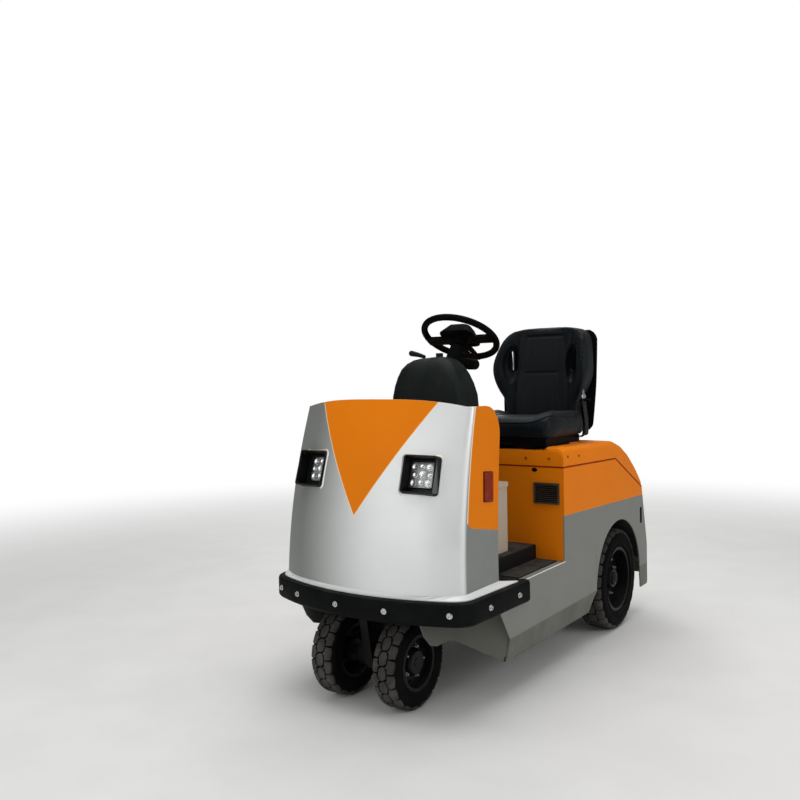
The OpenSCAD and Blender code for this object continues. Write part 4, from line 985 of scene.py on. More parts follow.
def make_cowl():
    """Thin skin between an outer and an inner sheet, closed round its rim, with the lamp openings cut."""
    outer, inner = cowl_rows(0), cowl_rows(COWL["wall"])
    n, m = len(outer[0]), len(outer)
    k = n * m
    faces = []
    for i in range(m - 1):
        for j in range(n - 1):
            a, b, c, d = i * n + j, i * n + j + 1, (i + 1) * n + j + 1, (i + 1) * n + j
            faces += [(a, b, c, d), (k + d, k + c, k + b, k + a)]
    rim = list(range(n)) + [i * n + n - 1 for i in range(1, m)] + [(m - 1) * n + j for j in range(n - 2, -1, -1)]
    rim += [i * n for i in range(m - 2, 0, -1)]
    faces += [(b, a, k + a, k + b) for a, b in zip(rim, rim[1:] + rim[:1])]
    mesh = bpy.data.meshes.new("cowl_skin")
    mesh.from_pydata([tuple(p) for row in outer + inner for p in row], [], faces)
    outward(mesh)
    cowl = link("cowl_skin", mesh, MATERIALS["silver_paint"])
    opening = round_outline(LAMP["w"] + 1, LAMP["h"] + 1, 12.5, 5)
    cut_by(cowl, [link("lamp_opening", placed_prism("lamp_opening", opening, -0.11, 0.08, lamp_frame(side)))
                  for side in (-1, 1)])
    settle(cowl, "chassis", ("front_cowl",), smooth=30)


make_cowl()


def on_cowl(frame, x, y):
    """Distance along a lamp frame's Z at which its line through (x, y) meets the cowl's skin."""
    low, high = -0.16, 0.12
    for _ in range(30):
        middle = (low + high) / 2
        p = frame @ Vector((x, y, middle))
        z = p.z * 1000
        if (p.x - FRONT_AXLE) * 1000 < cowl_front(z) - cowl_bow(abs(p.y) * 1000, z):
            low = middle
        else:
            high = middle
    return low


def nested_rows(width, height, radius, steps, shift=(0, 0)):
    """Rows of a rounded rectangle at (inset, z) steps, all in millimetres."""
    return [[Vector((x + shift[0], y + shift[1], z)) * MM for x, y in
             round_path(width - 2 * d, height - 2 * d, max(1.0, radius - d))] for d, z in steps]


LIP_STEPS = ((0.6, -2.0), (0.7, 2.2), (2.4, 3.6), (4.8, 3.2), (8.0, 1.2), (11.0, -0.6))


def lip_mesh(frame):
    """Pressed lip of the cowl round a headlamp, which follows the cowl's skin."""
    rows = []
    for out, lift in LIP_STEPS:
        path = round_path(LAMP["w"] + 2 * out, LAMP["h"] + 2 * out, 13 + out, 8)
        rows.append([frame @ Vector((x * MM, y * MM, on_cowl(frame, x * MM, y * MM) + lift * MM)) for x, y in path])
    return sheet_mesh("lip", rows)


CUP_DEPTH = 2.4
CUP_BOWL = ((0.93, 0.22), (0.8, 0.5), (0.58, 0.8), (0.34, 0.97), (0.3, 0.7), (0.12, 0.5))


def cup_mesh(frame, x, y, radius):
    """Round reflector cup that opens at z = 0 with a small bright dome in its middle."""
    steps = [(radius + 1.2, 0.0), (radius, 0.3)] + [(radius * wide, -CUP_DEPTH * low) for wide, low in CUP_BOWL]
    return sheet_mesh("cup", [[frame @ (p * MM) for p in ring(r, z, 20, x, y)] for r, z in steps])


LAMP_SHIFT = (-12.5, 6)
LAMP_SHELLS = {
    "box": (LAMP["w"], LAMP["h"], 12, ((0, -84), (0, -3), (0.7, -1), (2.2, 0), (5.0, 0), (6.3, -0.8), (7.0, -3),
                                       (7.4, -58), (9.0, -61.6))),
    "surround": (111, 110, 8, ((0, -61.6), (0, -49.5), (0.6, -47.8), (1.4, -47.5), (2.2, -48.4), (2.4, -60)),
                 LAMP_SHIFT),
    "plate": (106.8, 105.8, 6, ((0, -57.6), (0, -56.4), (1, -56)), LAMP_SHIFT),
    "pane": (107.4, 106.4, 6, ((0, -51.5), (0, -50.2), (0.8, -49.6), (14, -49.0), (36, -48.8)), LAMP_SHIFT),
}


def lamp_cups(frame):
    """Nine cups in three columns, large and small by turns, sunk in the lamp."""
    sunk = frame @ Matrix.Translation((0, 0, -0.0535))
    cups = []
    for column in (-1, 0, 1):
        for row in (-1, 0, 1):
            x = LAMP_SHIFT[0] + column * 33.0 + (3.0 if row == 0 else -1.5)
            y = LAMP_SHIFT[1] + row * 32.0 + (2.0 if column == 0 else -1.0)
            radius = 10.5 if (row + column) % 2 else 12.5
            cups.append(cup_mesh(sunk, x, y, radius))
    return cups


def headlamps():
    """Both headlamps, from the pressed lip in the cowl to the clear pane."""
    frames = [lamp_frame(side) for side in (-1, 1)]

    def pair(name, kind, material):
        return joined(name, [shell(kind, nested_rows(*LAMP_SHELLS[kind]), frame) for frame in frames], material)

    settle(joined("headlamp_lips", [lip_mesh(frame) for frame in frames], MATERIALS["silver_paint"]), "chassis")
    settle(pair("headlamp_boxes", "box", LAMP_BOX), "chassis", ("headlamp_housings",))
    settle(pair("lamp_surrounds", "surround", MATERIALS["black_plastic"]), "chassis")
    settle(pair("lamp_plates", "plate", LAMP_PLATE), "chassis")
    settle(joined("lamp_cups", lamp_cups(frames[0]) + lamp_cups(frames[1]), CHROME), "chassis", smooth=60)
    settle(pair("lamp_panes", "pane", MATERIALS["lamp_glass"]), "chassis", ("headlamp_lenses",))


headlamps()

MARKER_X, MARKER_Z = -174, 902
MARKER_FOOT = nested_rows(78, 124, 7, ((0, 0), (0, 1.6), (0.8, 2.4), (2.2, 2.4)))
MARKER_LENS = nested_rows(72, 118, 6, ((0, 1.8), (0, 4.4), (0.9, 5.6), (2.6, 6.0), (5.4, 6.0), (6.2, 5.2), (8.0, 5.0)))


def side_markers():
    """Side markers: dark foot, ribbed red lens with a rounded face."""
    lean = math.atan((COWL["base_w"] - COWL["top_w"]) / 2 / (COWL["top"] - COWL["base"]))
    left = Matrix.Translation(at(MARKER_X, cowl_half(MARKER_Z) + 0.2, MARKER_Z))
    left = left @ Matrix.Rotation(lean - math.pi / 2, 4, "X") @ rotation(-5, "Z")
    frames = [mirrored(left, side) for side in (-1, 1)]
    feet = [shell("foot", MARKER_FOOT, frame) for frame in frames]
    lenses = [shell("lens", MARKER_LENS, frame) for frame in frames]
    settle(joined("marker_feet", feet, MATERIALS["black_plastic"]), "chassis")
    settle(joined("marker_lenses", lenses, MATERIALS["marker_lens"]), "chassis", ("side_markers",))


side_markers()


# Wheels

TREAD_FALL = ((0.0, 0.0), (0.6, 0.0), (0.76, 2.0), (0.88, 9.0), (0.97, 22.0), (1.0, 40.0))


def surface_radius(v, outer, half):
    """Radius of a tyre's tread face at a distance across from its middle."""
    t = abs(v) / half
    for (a, da), (b, db) in zip(TREAD_FALL, TREAD_FALL[1:]):
        if t <= b:
            s = (t - a) / (b - a)
            return outer - da - (db - da) * s
    return outer - 40.0


def tread_block(name, outline, outer, half, depth):
    """Block of tread, its outline in millimetres (round the tyre, across it), bent over the tyre's surface."""
    bm = bmesh.new()
    bm.from_mesh(prism(name, outline, 0.0, depth, 1.6))
    for axis, step in ((0, 9.0), (1, 6.0)):
        values = [p[axis] for p in outline]
        cut = math.ceil((min(values) + 1) / step) * step
        while cut < max(values) - 1:
            spot, normal = Vector((0, 0, 0)), Vector((0, 0, 0))
            spot[axis], normal[axis] = cut, 1
            bmesh.ops.bisect_plane(bm, geom=bm.verts[:] + bm.edges[:] + bm.faces[:], plane_co=spot, plane_no=normal)
            cut += step
    for vert in bm.verts:
        u, v, h = vert.co
        r = surface_radius(v, outer, half) - (depth - h)
        a = u / outer
        vert.co = Vector((math.cos(a) * r, v, math.sin(a) * r)) * MM
    return mesh_of(name, bm)


CARCASS_SHOULDER = ((0.0, 0), (0.35, 0), (0.6, 0), (0.76, 2), (0.86, 7), (0.93, 13), (0.97, 20), (0.985, 24),
                    (1.0, 26), (1.0, 29), (0.985, 31))
CARCASS_WALL = ((1.0, 6), (0.99, -4), (0.97, -12))
CARCASS_BEAD = ((0.975, 22), (0.99, 20), (0.99, 16), (0.95, 13), (0.88, 10), (0.74, 6), (0.70, 0))


def tyre_profile(outer, half, seat, depth):
    """Closed profile of the carcass in metres: tread base, shoulders, ribbed walls and bead."""
    mid = (outer + seat) / 2
    side = [(w, outer - depth - fall) for w, fall in CARCASS_SHOULDER]
    side += [(w, mid + rise) for w, rise in CARCASS_WALL] + [(w, seat + rise) for w, rise in CARCASS_BEAD]
    side = [(w * half * MM, r * MM) for w, r in side]
    return side + [(-w, r) for w, r in reversed(side[1:])]


def wheel_tyre(name, centre, outer, width, seat, columns, count, depth):
    """Carcass with staggered columns of tread blocks: (outline, shift round the tyre) each."""
    half = width / 2
    tyre = link(name, spun(name, tyre_profile(outer, half, seat, depth), centre, 112), MATERIALS["tyre_rubber"])
    elements = []
    for i, (outline, start) in enumerate(columns):
        block = f"{name}_block_{i}"
        elements.append(hidden_element(block, tread_block(block, outline, outer, half, depth + 1.0)))
        WHEEL_RING.on(tyre, Element=elements[-1], Count=count, Start=start, Centre=centre, Material=TREAD_FACE)
    baked(tyre)
    drop(*elements)
    return tyre


def tread_columns(pitch, inner, outer):
    """Three staggered columns of tread: blocks in the middle and pointed blocks towards each shoulder."""
    middle = [(-0.45, 0.16), (-0.30, 0.90), (0.12, 1.0), (0.45, 0.64)]
    middle = [(x * pitch, y * (inner - 4.5)) for x, y in middle + [(-x, -y) for x, y in middle]]
    right = [(-0.455 * pitch, inner + 3.0), (-0.14 * pitch, inner + 0.5), (0.0, inner * 0.62),
             (0.12 * pitch, inner - 0.5), (0.455 * pitch, inner + 2.0), (0.42 * pitch, outer),
             (0.1 * pitch, outer + 1.5), (-0.40 * pitch, outer - 1)]
    return [(middle, 0.0), (right, 0.5), ([(-x, -y) for x, y in right], 0.5)]


def wheels():
    """Tyres: both front ones in one piece, since they share a body, and one rear tyre on each side."""
    treads = tread_columns(59.7, 23.0, 50.0)
    pair = [wheel_tyre("front_tyre", front_hub(side), FRONT_R, 115.0, 107.0, treads, 20, 8.5) for side in (-1, 1)]
    whole = joined("front_tyres_with_tread", [tyre.data for tyre in pair])
    for material in (MATERIALS["tyre_rubber"], TREAD_FACE):
        whole.data.materials.append(material)
    drop(*pair)
    settle(whole, "front_wheels", ("front_tyres",), smooth=38)
    treads = tread_columns(63.6, 30.0, 66.0)
    for side, word in SIDES:
        tyre = wheel_tyre(f"rear_tyre_{word}_with_tread", rear_hub(side), REAR_R, 150.0, 160.0, treads, 26, 11.5)
        settle(tyre, f"rear_wheel_{word}", (f"rear_tyre_{word}",), smooth=38)


# Seat: pads swollen as cloth between their seams, with welts laid on them, a shell and the belt

SEAT = Vector((-1025.0, 166.0, 998.0))


def through(table, t, column):
    """Value of a table's column at t of its first column, along a smooth curve."""
    keys = [row[0] for row in table]
    values = [row[column] for row in table]
    if t <= keys[0]:
        return values[0]
    for i in range(len(keys) - 1):
        if t <= keys[i + 1]:
            u = (t - keys[i]) / (keys[i + 1] - keys[i])
            before = values[max(i - 1, 0)]
            after = values[min(i + 2, len(keys) - 1)]
            a, b = (values[i + 1] - before) / 2, (after - values[i]) / 2
            return ((2 * u ** 3 - 3 * u ** 2 + 1) * values[i] + (u ** 3 - 2 * u ** 2 + u) * a
                    + (3 * u ** 2 - 2 * u ** 3) * values[i + 1] + (u ** 3 - u ** 2) * b)
    return values[-1]


def curve_points(four, steps):
    """Points of a smooth curve from the second of four points up to the third."""
    return [Vector([0.5 * (2 * b + (c - a) * t + (2 * a - 5 * b + 4 * c - d) * t * t
                           + (3 * b - a - 3 * c + d) * t ** 3) for a, b, c, d in zip(*four)])
            for t in (j / steps for j in range(steps))]


def rounded_section(points):
    """A closed smooth line through the points of a section."""
    n = len(points)
    return [p for i in range(n) for p in curve_points([points[(i + k) % n] for k in (-1, 0, 1, 2)], 3)]


def smooth_path(points):
    """An open smooth line through points."""
    last = len(points) - 1
    return [p for i in range(last)
            for p in curve_points([points[min(max(i + k, 0), last)] for k in (-1, 0, 1, 2)], 8)] + [points[-1]]


CLOTH_FRAMES = 20
FILLED_PAD = {"quality": 5, "mass": 0.3, "tension_stiffness": 12, "compression_stiffness": 12, "shear_stiffness": 4,
              "bending_stiffness": 0.6, "use_pressure": True, "uniform_pressure_force": 4.0,
              "vertex_group_mass": "held"}


def swell(piece, held, cap):
    """Swells a closed pad as cloth that is held where held(point, normal) is true; no point moves more than cap."""
    modified(piece, ("REMESH", {"mode": "VOXEL", "voxel_size": 0.0055}), ("SMOOTH", {"factor": 0.5, "iterations": 6}))
    start = [v.co.copy() for v in piece.data.vertices]
    group = piece.vertex_groups.new(name="held")
    group.add([v.index for v in piece.data.vertices if held(v.co, v.normal)], 1.0, "REPLACE")
    modifier = piece.modifiers.new("cloth", "CLOTH")
    for key, value in FILLED_PAD.items():
        setattr(modifier.settings, key, value)
    modifier.settings.effector_weights.gravity = 0
    modifier.collision_settings.use_collision = False
    modifier.point_cache.frame_start, modifier.point_cache.frame_end = 1, CLOTH_FRAMES
    scene = bpy.context.scene
    for number in range(1, CLOTH_FRAMES + 1):
        scene.frame_set(number)
    shown = piece.evaluated_get(bpy.context.evaluated_depsgraph_get())
    moved = [v.co.copy() for v in shown.data.vertices]
    piece.modifiers.clear()
    piece.vertex_groups.clear()
    scene.frame_set(1)
    for vertex, a, b in zip(piece.data.vertices, start, moved):
        step = b - a
        if step.length > cap:
            step *= cap / step.length
        vertex.co = a + step
    piece.data.update()


def surface_of(piece):
    mesh = piece.data
    return BVHTree.FromPolygons([v.co.copy() for v in mesh.vertices], [tuple(f.vertices) for f in mesh.polygons])


def laid(surface, points, direction, lift):
    """Points dropped along a direction on to a surface and lifted off it."""
    path = []
    for point in points:
        place, normal, _, _ = surface.ray_cast(point - direction * 0.4, direction, 1.0)
        if place is not None:
            path.append(place + normal * lift)
    return path


# Height, half width and how far the wings stand forward
BACK_ROWS = ((72, 182, 2), (84, 200, 4), (122, 209, 6), (182, 203, 10), (227, 213, 18), (272, 239, 34),
             (322, 259, 52), (378, 269, 64), (432, 265, 66), (487, 254, 58), (537, 240, 44), (570, 220, 28),
             (589, 194, 18), (600, 160, 10), (604, 120, 6))
MID_SEAM, TOP_SEAM, PANEL_SEAM = 367, 560, 152


def back_front(z):
    """Station of the seat back's front face, which leans back."""
    return -224 - 0.08 * (z - 102)


def seat_point(x, y, z):
    """A point given in millimetres from the middle of the seat's underside."""
    return at(SEAT.x + x, SEAT.y + y, SEAT.z + z)


def in_seat(p):
    """The reverse: a point's millimetres from the middle of the seat's underside."""
    return p.x * 1000 - FRONT_AXLE * 1000 - SEAT.x, p.y * 1000 - SEAT.y, p.z * 1000 - SEAT.z


def seat_path(*points):
    """Smooth path through points given in millimetres from the seat's underside."""
    return smooth_path([seat_point(*p) for p in points])


def mirrored_ring(half):
    """A closed ring of (across, along) from one half of it, which starts and ends in the middle."""
    return half + [(-a, b) for a, b in half[-2:0:-1]]


def finish_pad(pad, welts, name):
    """Adds a pad's welts, and the pad in place of its solid."""
    settle(joined(f"{name}_welts", welts, WELT_WITH_PAINTED_HIGHLIGHT), "lid_with_seat")
    settle(pad, "lid_with_seat", (name,), smooth=0)
    pad.data.shade_smooth()


def pad_shift(z):
    """How far the pad's upper part stands to the driver's left."""
    t = min(1.0, max(0.0, (z - 400) / 200))
    return 20 * t * t * (3 - 2 * t)


SLOT_TURN = 33


def slot_cutters(width, height, radius, reach):
    """Cutters for the oblique belt slots of both wings."""
    outline = round_outline(width, height, radius)
    cutters = []
    for side in (-1, 1):
        place = Matrix.Translation(seat_point(-254, side * 172, 436)) @ rotation(-side * SLOT_TURN, "Z") @ OUT_OF_FACE
        cutters.append(link("slot", placed_prism("slot", outline, -reach, 0.12, place)))
    return cutters


def recess_share(y, z):
    """1 in the middle of the oval hollow of a wing, 0 at its edge and outside."""
    return max(0.0, 1 - ((abs(y) - 174) / 40) ** 2 - ((z - 415) / 104) ** 2)


def seat_back():
    """Back pad with two wings, an oval hollow and a belt slot in each, and seams across and along."""
    rows = []
    for k in range(46):
        z = 73 + (603 - 73) * k / 45
        w, f, x = through(BACK_ROWS, z, 1) - 2, through(BACK_ROWS, z, 2) - 3, back_front(z)
        half = [(0.0, -6), (0.25, -6), (0.48, -4), (0.66, f * 0.22 - 2), (0.82, f * 0.66), (0.92, f * 0.98),
                (0.975, f * 0.94), (1.0, f * 0.4), (0.998, -40), (0.985, -66), (0.93, -78), (0.6, -82), (0.0, -82)]
        section = rounded_section([Vector((x + d, a * w, z)) for a, d in mirrored_ring(half)])
        rows.append([seat_point(p.x, p.y + pad_shift(z), p.z) for p in section])
    skin = sheet_mesh("seat_back_pad", rows, caps=True)
    pad = link("seat_back_pad", skin, MATERIALS["seat_cover"])
    cut_by(pad, slot_cutters(24, 112, 11.5, 0.2))

    def local(p):
        x, y, z = in_seat(p)
        return x, y - pad_shift(z), z

    def held(p, normal):
        x, y, z = local(p)
        if x < back_front(z) - 60 or z < 80:
            return True
        if recess_share(abs(y) - max(0.0, -254 - x) * math.tan(math.radians(SLOT_TURN)), z) > 0.02:
            return True
        if normal.x < 0.1:
            return False
        seam = (abs(z - MID_SEAM) < 4.5 and abs(y) < 96) or (abs(z - TOP_SEAM) < 4.5 and abs(y) < 104)
        return seam or (abs(abs(y) - PANEL_SEAM) < 4.0 and 96 < z < 575) or recess_share(y, z) > 0.02

    swell(pad, held, 0.009)
    for vertex in pad.data.vertices:
        x, y, z = local(vertex.co)
        if vertex.normal.x > 0.0 and x > back_front(z) - 30:
            vertex.co.x -= 0.034 * recess_share(y, z) ** 0.6
            deep = 0.0045 * math.exp(-((z - MID_SEAM) / 5.0) ** 2) * (1 if abs(y) < 96 else 0)
            deep += 0.0055 * math.exp(-((z - TOP_SEAM) / 7.0) ** 2) * (1 if abs(y) < 104 else 0)
            deep += 0.0035 * math.exp(-((abs(y) - PANEL_SEAM) / 4.5) ** 2) * (1 if 96 < z < 575 else 0)
            vertex.co.x -= deep
    pad.data.update()
    modified(pad, ("SUBSURF", {"levels": 1, "render_levels": 1}))
    surface = surface_of(pad)
    backwards = Vector((-1, 0, 0))
    welts = []
    for side in (-1, 1):
        seam = [seat_point(0, side * PANEL_SEAM + pad_shift(z), z) for z in range(100, 577, 7)]
        welts.append(tube("welt", laid(surface, seam, backwards, 0.0008), 0.0022, 8))
        rim = [seat_point(0, side * (174 + 41 * math.cos(a)), 415 + 105 * math.sin(a))
               for a in (t / 18 * math.pi for t in range(36))]
        welts.append(tube("welt", laid(surface, rim, backwards, 0.0006), 0.0026, 8, closed=True))
    finish_pad(pad, welts, "seat_back")


# Station, share of the width, underside, top and how far the bolsters stand above it
CUSHION_ROWS = ((-213, 0.90, 20, 70, 4), (-206, 0.94, 5, 90, 14), (-170, 0.97, 2, 100, 24), (-80, 0.985, 2, 99, 28),
                (40, 0.985, 2, 105, 26), (140, 0.985, 2, 110, 20), (196, 0.97, 2, 102, 12), (222, 0.94, 9, 84, 6),
                (231, 0.89, 26, 60, 2))


def seat_cushion():
    """Cushion pad with bolsters at its sides and front."""
    rows = []
    foot = 52
    for k in range(40):
        x = -212 + (230 + 212) * k / 39
        w = 530 * through(CUSHION_ROWS, x, 1)
        b, top, bolster = (through(CUSHION_ROWS, x, i) for i in (2, 3, 4))
        top -= 4
        half = [(0.0, b), (w / 2 - 60, b), (w / 2 - 14, b + 1), (w / 2 - 3, b + 22), (w / 2 - 2, top - 26),
                (w / 2 - 10, top + bolster - 8), (w / 2 - 34, top + bolster), (w / 2 - 74, top + bolster * 0.55),
                (w / 2 - 110, top), (w * 0.12, top - 1), (0.0, top - 1)]
        section = rounded_section([Vector((x, y, foot + z)) for y, z in mirrored_ring(half)])
        rows.append([seat_point(*p) for p in section])
    skin = sheet_mesh("seat_cushion_pad", rows, caps=True)
    pad = link("seat_cushion_pad", skin, MATERIALS["seat_cover"])

    def local(p):
        x, y, z = in_seat(p)
        return x, y, z - foot

    def seam(x, y):
        side = abs(y) - 140 if x < 150 else 400
        front = x - 158 if abs(y) < 140 else 400
        return min(abs(side), abs(front))

    def held(p, normal):
        x, y, z = local(p)
        return z < 12 or (normal.z > 0.4 and seam(x, y) < 4.5 and x > -190)

    swell(pad, held, 0.008)
    for vertex in pad.data.vertices:
        x, y, z = local(vertex.co)
        if vertex.normal.z > 0.3 and x > -195:
            vertex.co.z -= 0.004 * math.exp(-(seam(x, y) / 4.5) ** 2)
    pad.data.update()
    modified(pad, ("SUBSURF", {"levels": 1, "render_levels": 1}))
    surface = surface_of(pad)
    down = Vector((0, 0, -1))
    quarter = [(8 * math.sin(a), 8 * math.cos(a)) for a in (i / 8 * math.pi / 2 for i in range(9))]
    outline = [(-195, -140)] + [(x, -140) for x in range(-190, 146, 8)]
    outline += [(150 + across, -140 + 8 - up) for across, up in quarter] + [(158, y) for y in range(-128, 129, 8)]
    outline += [(150 + up, 132 + across) for across, up in quarter] + [(x, 140) for x in range(146, -191, -8)]
    welts = [tube("welt", laid(surface, [seat_point(x, y, 100) for x, y in outline], down, 0.0008), 0.0024, 8)]
    around = []
    for a in circle(120):
        x, y = (math.copysign(abs(v) ** 0.28, v) for v in (math.cos(a), math.sin(a)))
        around.append(seat_point(8 + 213 * x, 251 * y, 100))
    welts.append(tube("welt", laid(surface, around, down, 0.0010), 0.0034, 8, closed=True))
    finish_pad(pad, welts, "seat_cushion")


# Height, half width and depth
SHELL_ROWS = ((66, 238, 8), (74, 247, 14), (90, 257, 18), (180, 263, 22), (302, 269, 24), (430, 270, 24),
              (540, 269, 24), (558, 263, 20), (574, 252, 14), (585, 238, 8), (589, 228, 6))


def seat_shell():
    """Moulded shell behind the seat back, with rolled edges, two ribs and the belt slots."""
    rows = []
    for k in range(40):
        z = 67 + (588 - 67) * k / 39
        w, deep = through(SHELL_ROWS, z, 1), through(SHELL_ROWS, z, 2)
        x = back_front(z) - 84.5
        half = [(0.0, 0.0), (w - 8, 0.0), (w - 2, -1.0), (w, -4.0), (w - 1, -deep * 0.5), (w - 6, -deep * 0.8),
                (w - 16, -deep), (w - 60, -deep), (w - 68, -deep + 5), (w - 120, -deep + 5), (w - 128, -deep),
                (0.0, -deep)]
        rows.append([seat_point(x + d, y, z) for y, d in mirrored_ring(half)])
    moulding = sheet_mesh("seat_shell_moulding", rows, caps=True)
    piece = link("seat_shell_moulding", moulding, MATERIALS["wheel_grip"])
    cut_by(piece, slot_cutters(26, 116, 12, 0.3))
    modified(piece, ("BEVEL", {"width": 0.0015, "segments": 2, "limit_method": "ANGLE",
                               "angle_limit": math.radians(40)}))
    settle(piece, "lid_with_seat", ("seat_shell",), smooth=36)


STRAP_SECTION = ((-0.5, -0.3), (-0.48, -0.5), (0.48, -0.5), (0.5, -0.3), (0.5, 0.3), (0.48, 0.5), (-0.48, 0.5),
                 (-0.5, 0.3))


def strap(name, path, across, width, thick=0.0016):
    """Flat webbing along a path; across is its width's direction at each point."""
    rows = []
    for i, point in enumerate(path):
        along = (path[min(i + 1, len(path) - 1)] - path[max(i - 1, 0)]).normalized()
        side = (across - along * across.dot(along)).normalized()
        up = along.cross(side)
        rows.append([point + side * (a * width) + up * (b * thick) for a, b in STRAP_SECTION])
    return sheet_mesh(name, rows, caps=True)


def lap_belt():
    """Buckle on its stalk at the driver's right, webbing with its tongue and the seat's lever at the left."""
    forward = Vector((1, 0, 0))
    stalk = seat_path((-150, -262, 42), (-150, -272, 60), (-142, -274, 90), (-132, -274, 112))
    foot = seat_path((-150, -234, 41), (-150, -262, 42), (-150, -270, 52))
    place = Matrix.Translation(seat_point(-127, -274, 142)) @ rotation(20, "Y") @ rotation(90, "X")
    head = placed_prism("buckle", round_outline(28, 52, 6), -0.008, 0.008, place, 0.0022)
    place = place @ Matrix.Translation((0, 0.0232, 0))
    button = placed_prism("button", round_outline(19, 9, 2), -0.0085, 0.0085, place, 0.001)
    web = seat_path((-190, 236, 44), (-190, 262, 46), (-188, 273, 62), (-182, 275, 120), (-172, 272, 180),
                    (-160, 271, 232))
    anchor = seat_path((-150, 234, 41), (-150, 262, 42), (-150, 272, 60), (-146, 274, 96))
    half = [(0.024, -0.010), (0.024, 0.002), (0.011, 0.012), (0.010, 0.034)]
    place = Matrix.Translation(seat_point(-158, 272, 244)) @ rotation(12, "Y") @ rotation(90, "X")
    outline = [(-0.024, -0.010)] + half + [(-x, y) for x, y in half[:0:-1]]
    tongue = placed_prism("tongue", outline, -0.0012, 0.0012, place, 0.0004)
    stalks = [strap("stalk", stalk, forward, 0.022, 0.005), strap("stalk", foot, forward, 0.026, 0.004), head,
              strap("anchor", anchor, forward, 0.026, 0.004)]
    settle(joined("belt_stalks", stalks, MATERIALS["wheel_grip"]), "lid_with_seat", ("belt_buckles",))
    settle(joined("belt_button", [button], MATERIALS["buckle_red"]), "lid_with_seat")
    settle(joined("belt_webbing", [strap("webbing", web, forward, 0.044)], STRAP), "lid_with_seat")
    arm = seat_path((-160, 250, 224), (-160, 268, 224), (-158, 284, 226), (-152, 300, 224))
    knob = [(-0.0119, 0.0001), (-0.011, 0.006), (-0.005, 0.0095), (0.004, 0.0095), (0.010, 0.0065), (0.0115, 0.0001)]
    lever = [tube("lever", arm, 0.006), spun("knob", knob, seat_point(-152, 300, 224), 24)]
    settle(joined("seat_lever", lever, MATERIALS["wheel_grip"]), "lid_with_seat")
    settle(joined("belt_tongue", [tongue], BOLT_STEEL), "lid_with_seat")


seat_back()
seat_cushion()
seat_shell()
lap_belt()


# Wheel nuts and hub caps

HUB_CAP = ((0.034, 0.0415), (0.035, 0.0445), (0.040, 0.0450), (0.042, 0.036), (0.050, 0.033), (0.0525, 0.026),
           (0.053, 0.0001))


def studs(centre, side, count, radius):
    """Places of the studs round a hub and the way they point."""
    return [(centre + Vector((radius * math.cos(a), 0, radius * math.sin(a))), Vector((0, side, 0)))
            for a in circle(count, 0.5)]


def wheel_fittings():
    nut = hidden_element("wheel_nut", turned_head("wheel_nut", WHEEL_NUT, 12))
    for side, word in SIDES:
        body = f"rear_wheel_{word}"
        set_out(f"rear_nuts_{word}", nut, studs(rear_hub(side, 1.8), side, 8, 0.098), NUT_STEEL, body, scale=1.15)
        cap = spun(f"hub_cap_{word}", [(side * out, r) for out, r in HUB_CAP], rear_hub(side), 48)
        settle(link(f"hub_cap_{word}", cap, MATERIALS["rim_paint"]), body)
    places = [place for side in (-1, 1) for place in studs(front_hub(side, 17.6), side, 5, 0.0625)]
    set_out("front_nuts", nut, places, NUT_STEEL, "front_wheels")
    drop(nut)


wheel_fittings()


# Battery box: seal in the lid's joint, latch, plugs, a pale strip of painted highlight on the sills' edges and dark
# sheets of painted shade over the tail slots

JOINT = ((-789.0, 923.0), (-1445.0, 908.0), (-1845.0, 716.0))
LATCH_CUP = ((0.0001, 0.0006), (0.0078, 0.0006), (0.0088, 0.0009), (0.0096, 0.0014), (0.0112, 0.0022), (0.0126, 0.0016),
             (0.0130, -0.0010))


def lid_seal():
    """Rubber seal along the lid's joint, across the front and along both sides."""
    lines = [[at(-788.6, y, 923.0) for y in range(-496, 497, 31)]]
    for side in (-1, 1):
        y = side * (BODY_Y + 0.3)
        line = [at(x0 + (x1 - x0) * k / 12, y, z0 + (z1 - z0) * k / 12)
                for (x0, z0), (x1, z1) in zip(JOINT, JOINT[1:]) for k in range(12)]
        lines.append(line + [at(JOINT[-1][0], y, JOINT[-1][1])])
    settle(joined("lid_seal", [strap("seal", line, UP, 0.0062, 0.0018) for line in lines], SEAL), "chassis")


def lid_latch():
    """Shallow oval cup on the front panel."""
    rows = [[at(-788.8, 351.8, 906.5) + Vector((deep, 1.08 * r * math.cos(a), 0.72 * r * math.sin(a)))
             for a in circle(36)] for r, deep in LATCH_CUP]
    settle(link("lid_latch", sheet_mesh("lid_latch", rows, caps=True), MATERIALS["wheel_grip"]), "chassis")


def lid_plugs():
    """Small plugs along the lid's front and side edges."""
    plug = hidden_element("lid_plug", turned_head("lid_plug", LID_PLUG, 24))
    places = [(at(-788.4, side * y, 960.8), Vector((1, 0, 0))) for side in (-1, 1) for y in (308, 427)]
    places += [(at(x, side * (BODY_Y - 0.4), z), Vector((0, side, 0))) for side in (-1, 1)
               for x, z in ((-839, 969.6), (-967, 963.5))]
    set_out("lid_plugs", plug, places, PLUG, "lid_with_seat")
    drop(plug)


def sill_trims():
    """Pale strip along the inner top edge of both sills: a painted highlight."""
    paths = [[at(-394 - 29 * k, side * (BODY_Y - 1.5), 485.6) for k in range(15)] for side in (-1, 1)]
    highlight_strips = [strap("trim", path, Vector((0, 1, 0)), 0.0055, 0.0024) for path in paths]
    settle(joined("sill_trims", highlight_strips, SILL_EDGE_HIGHLIGHT), "chassis")


def tail_slot_liners():
    """Dark sheets over the slots in the body sides' tails: painted shade of the slots' depth."""
    places = [Matrix.Translation(at(-1829, side * BODY_Y, 556)) @ rotation(90, "X") for side in (-1, 1)]
    painted_shade_sheets = [placed_prism("painted_shade_sheet", round_outline(31, 90, 9), -0.0004, 0.0006, place, 0.0002) for place in places]
    settle(joined("tail_slot_liners", painted_shade_sheets, MATERIALS["wheel_grip"]), "chassis")


lid_seal()
lid_latch()
lid_plugs()
sill_trims()
tail_slot_liners()
wheels()


# Camera, light and stage

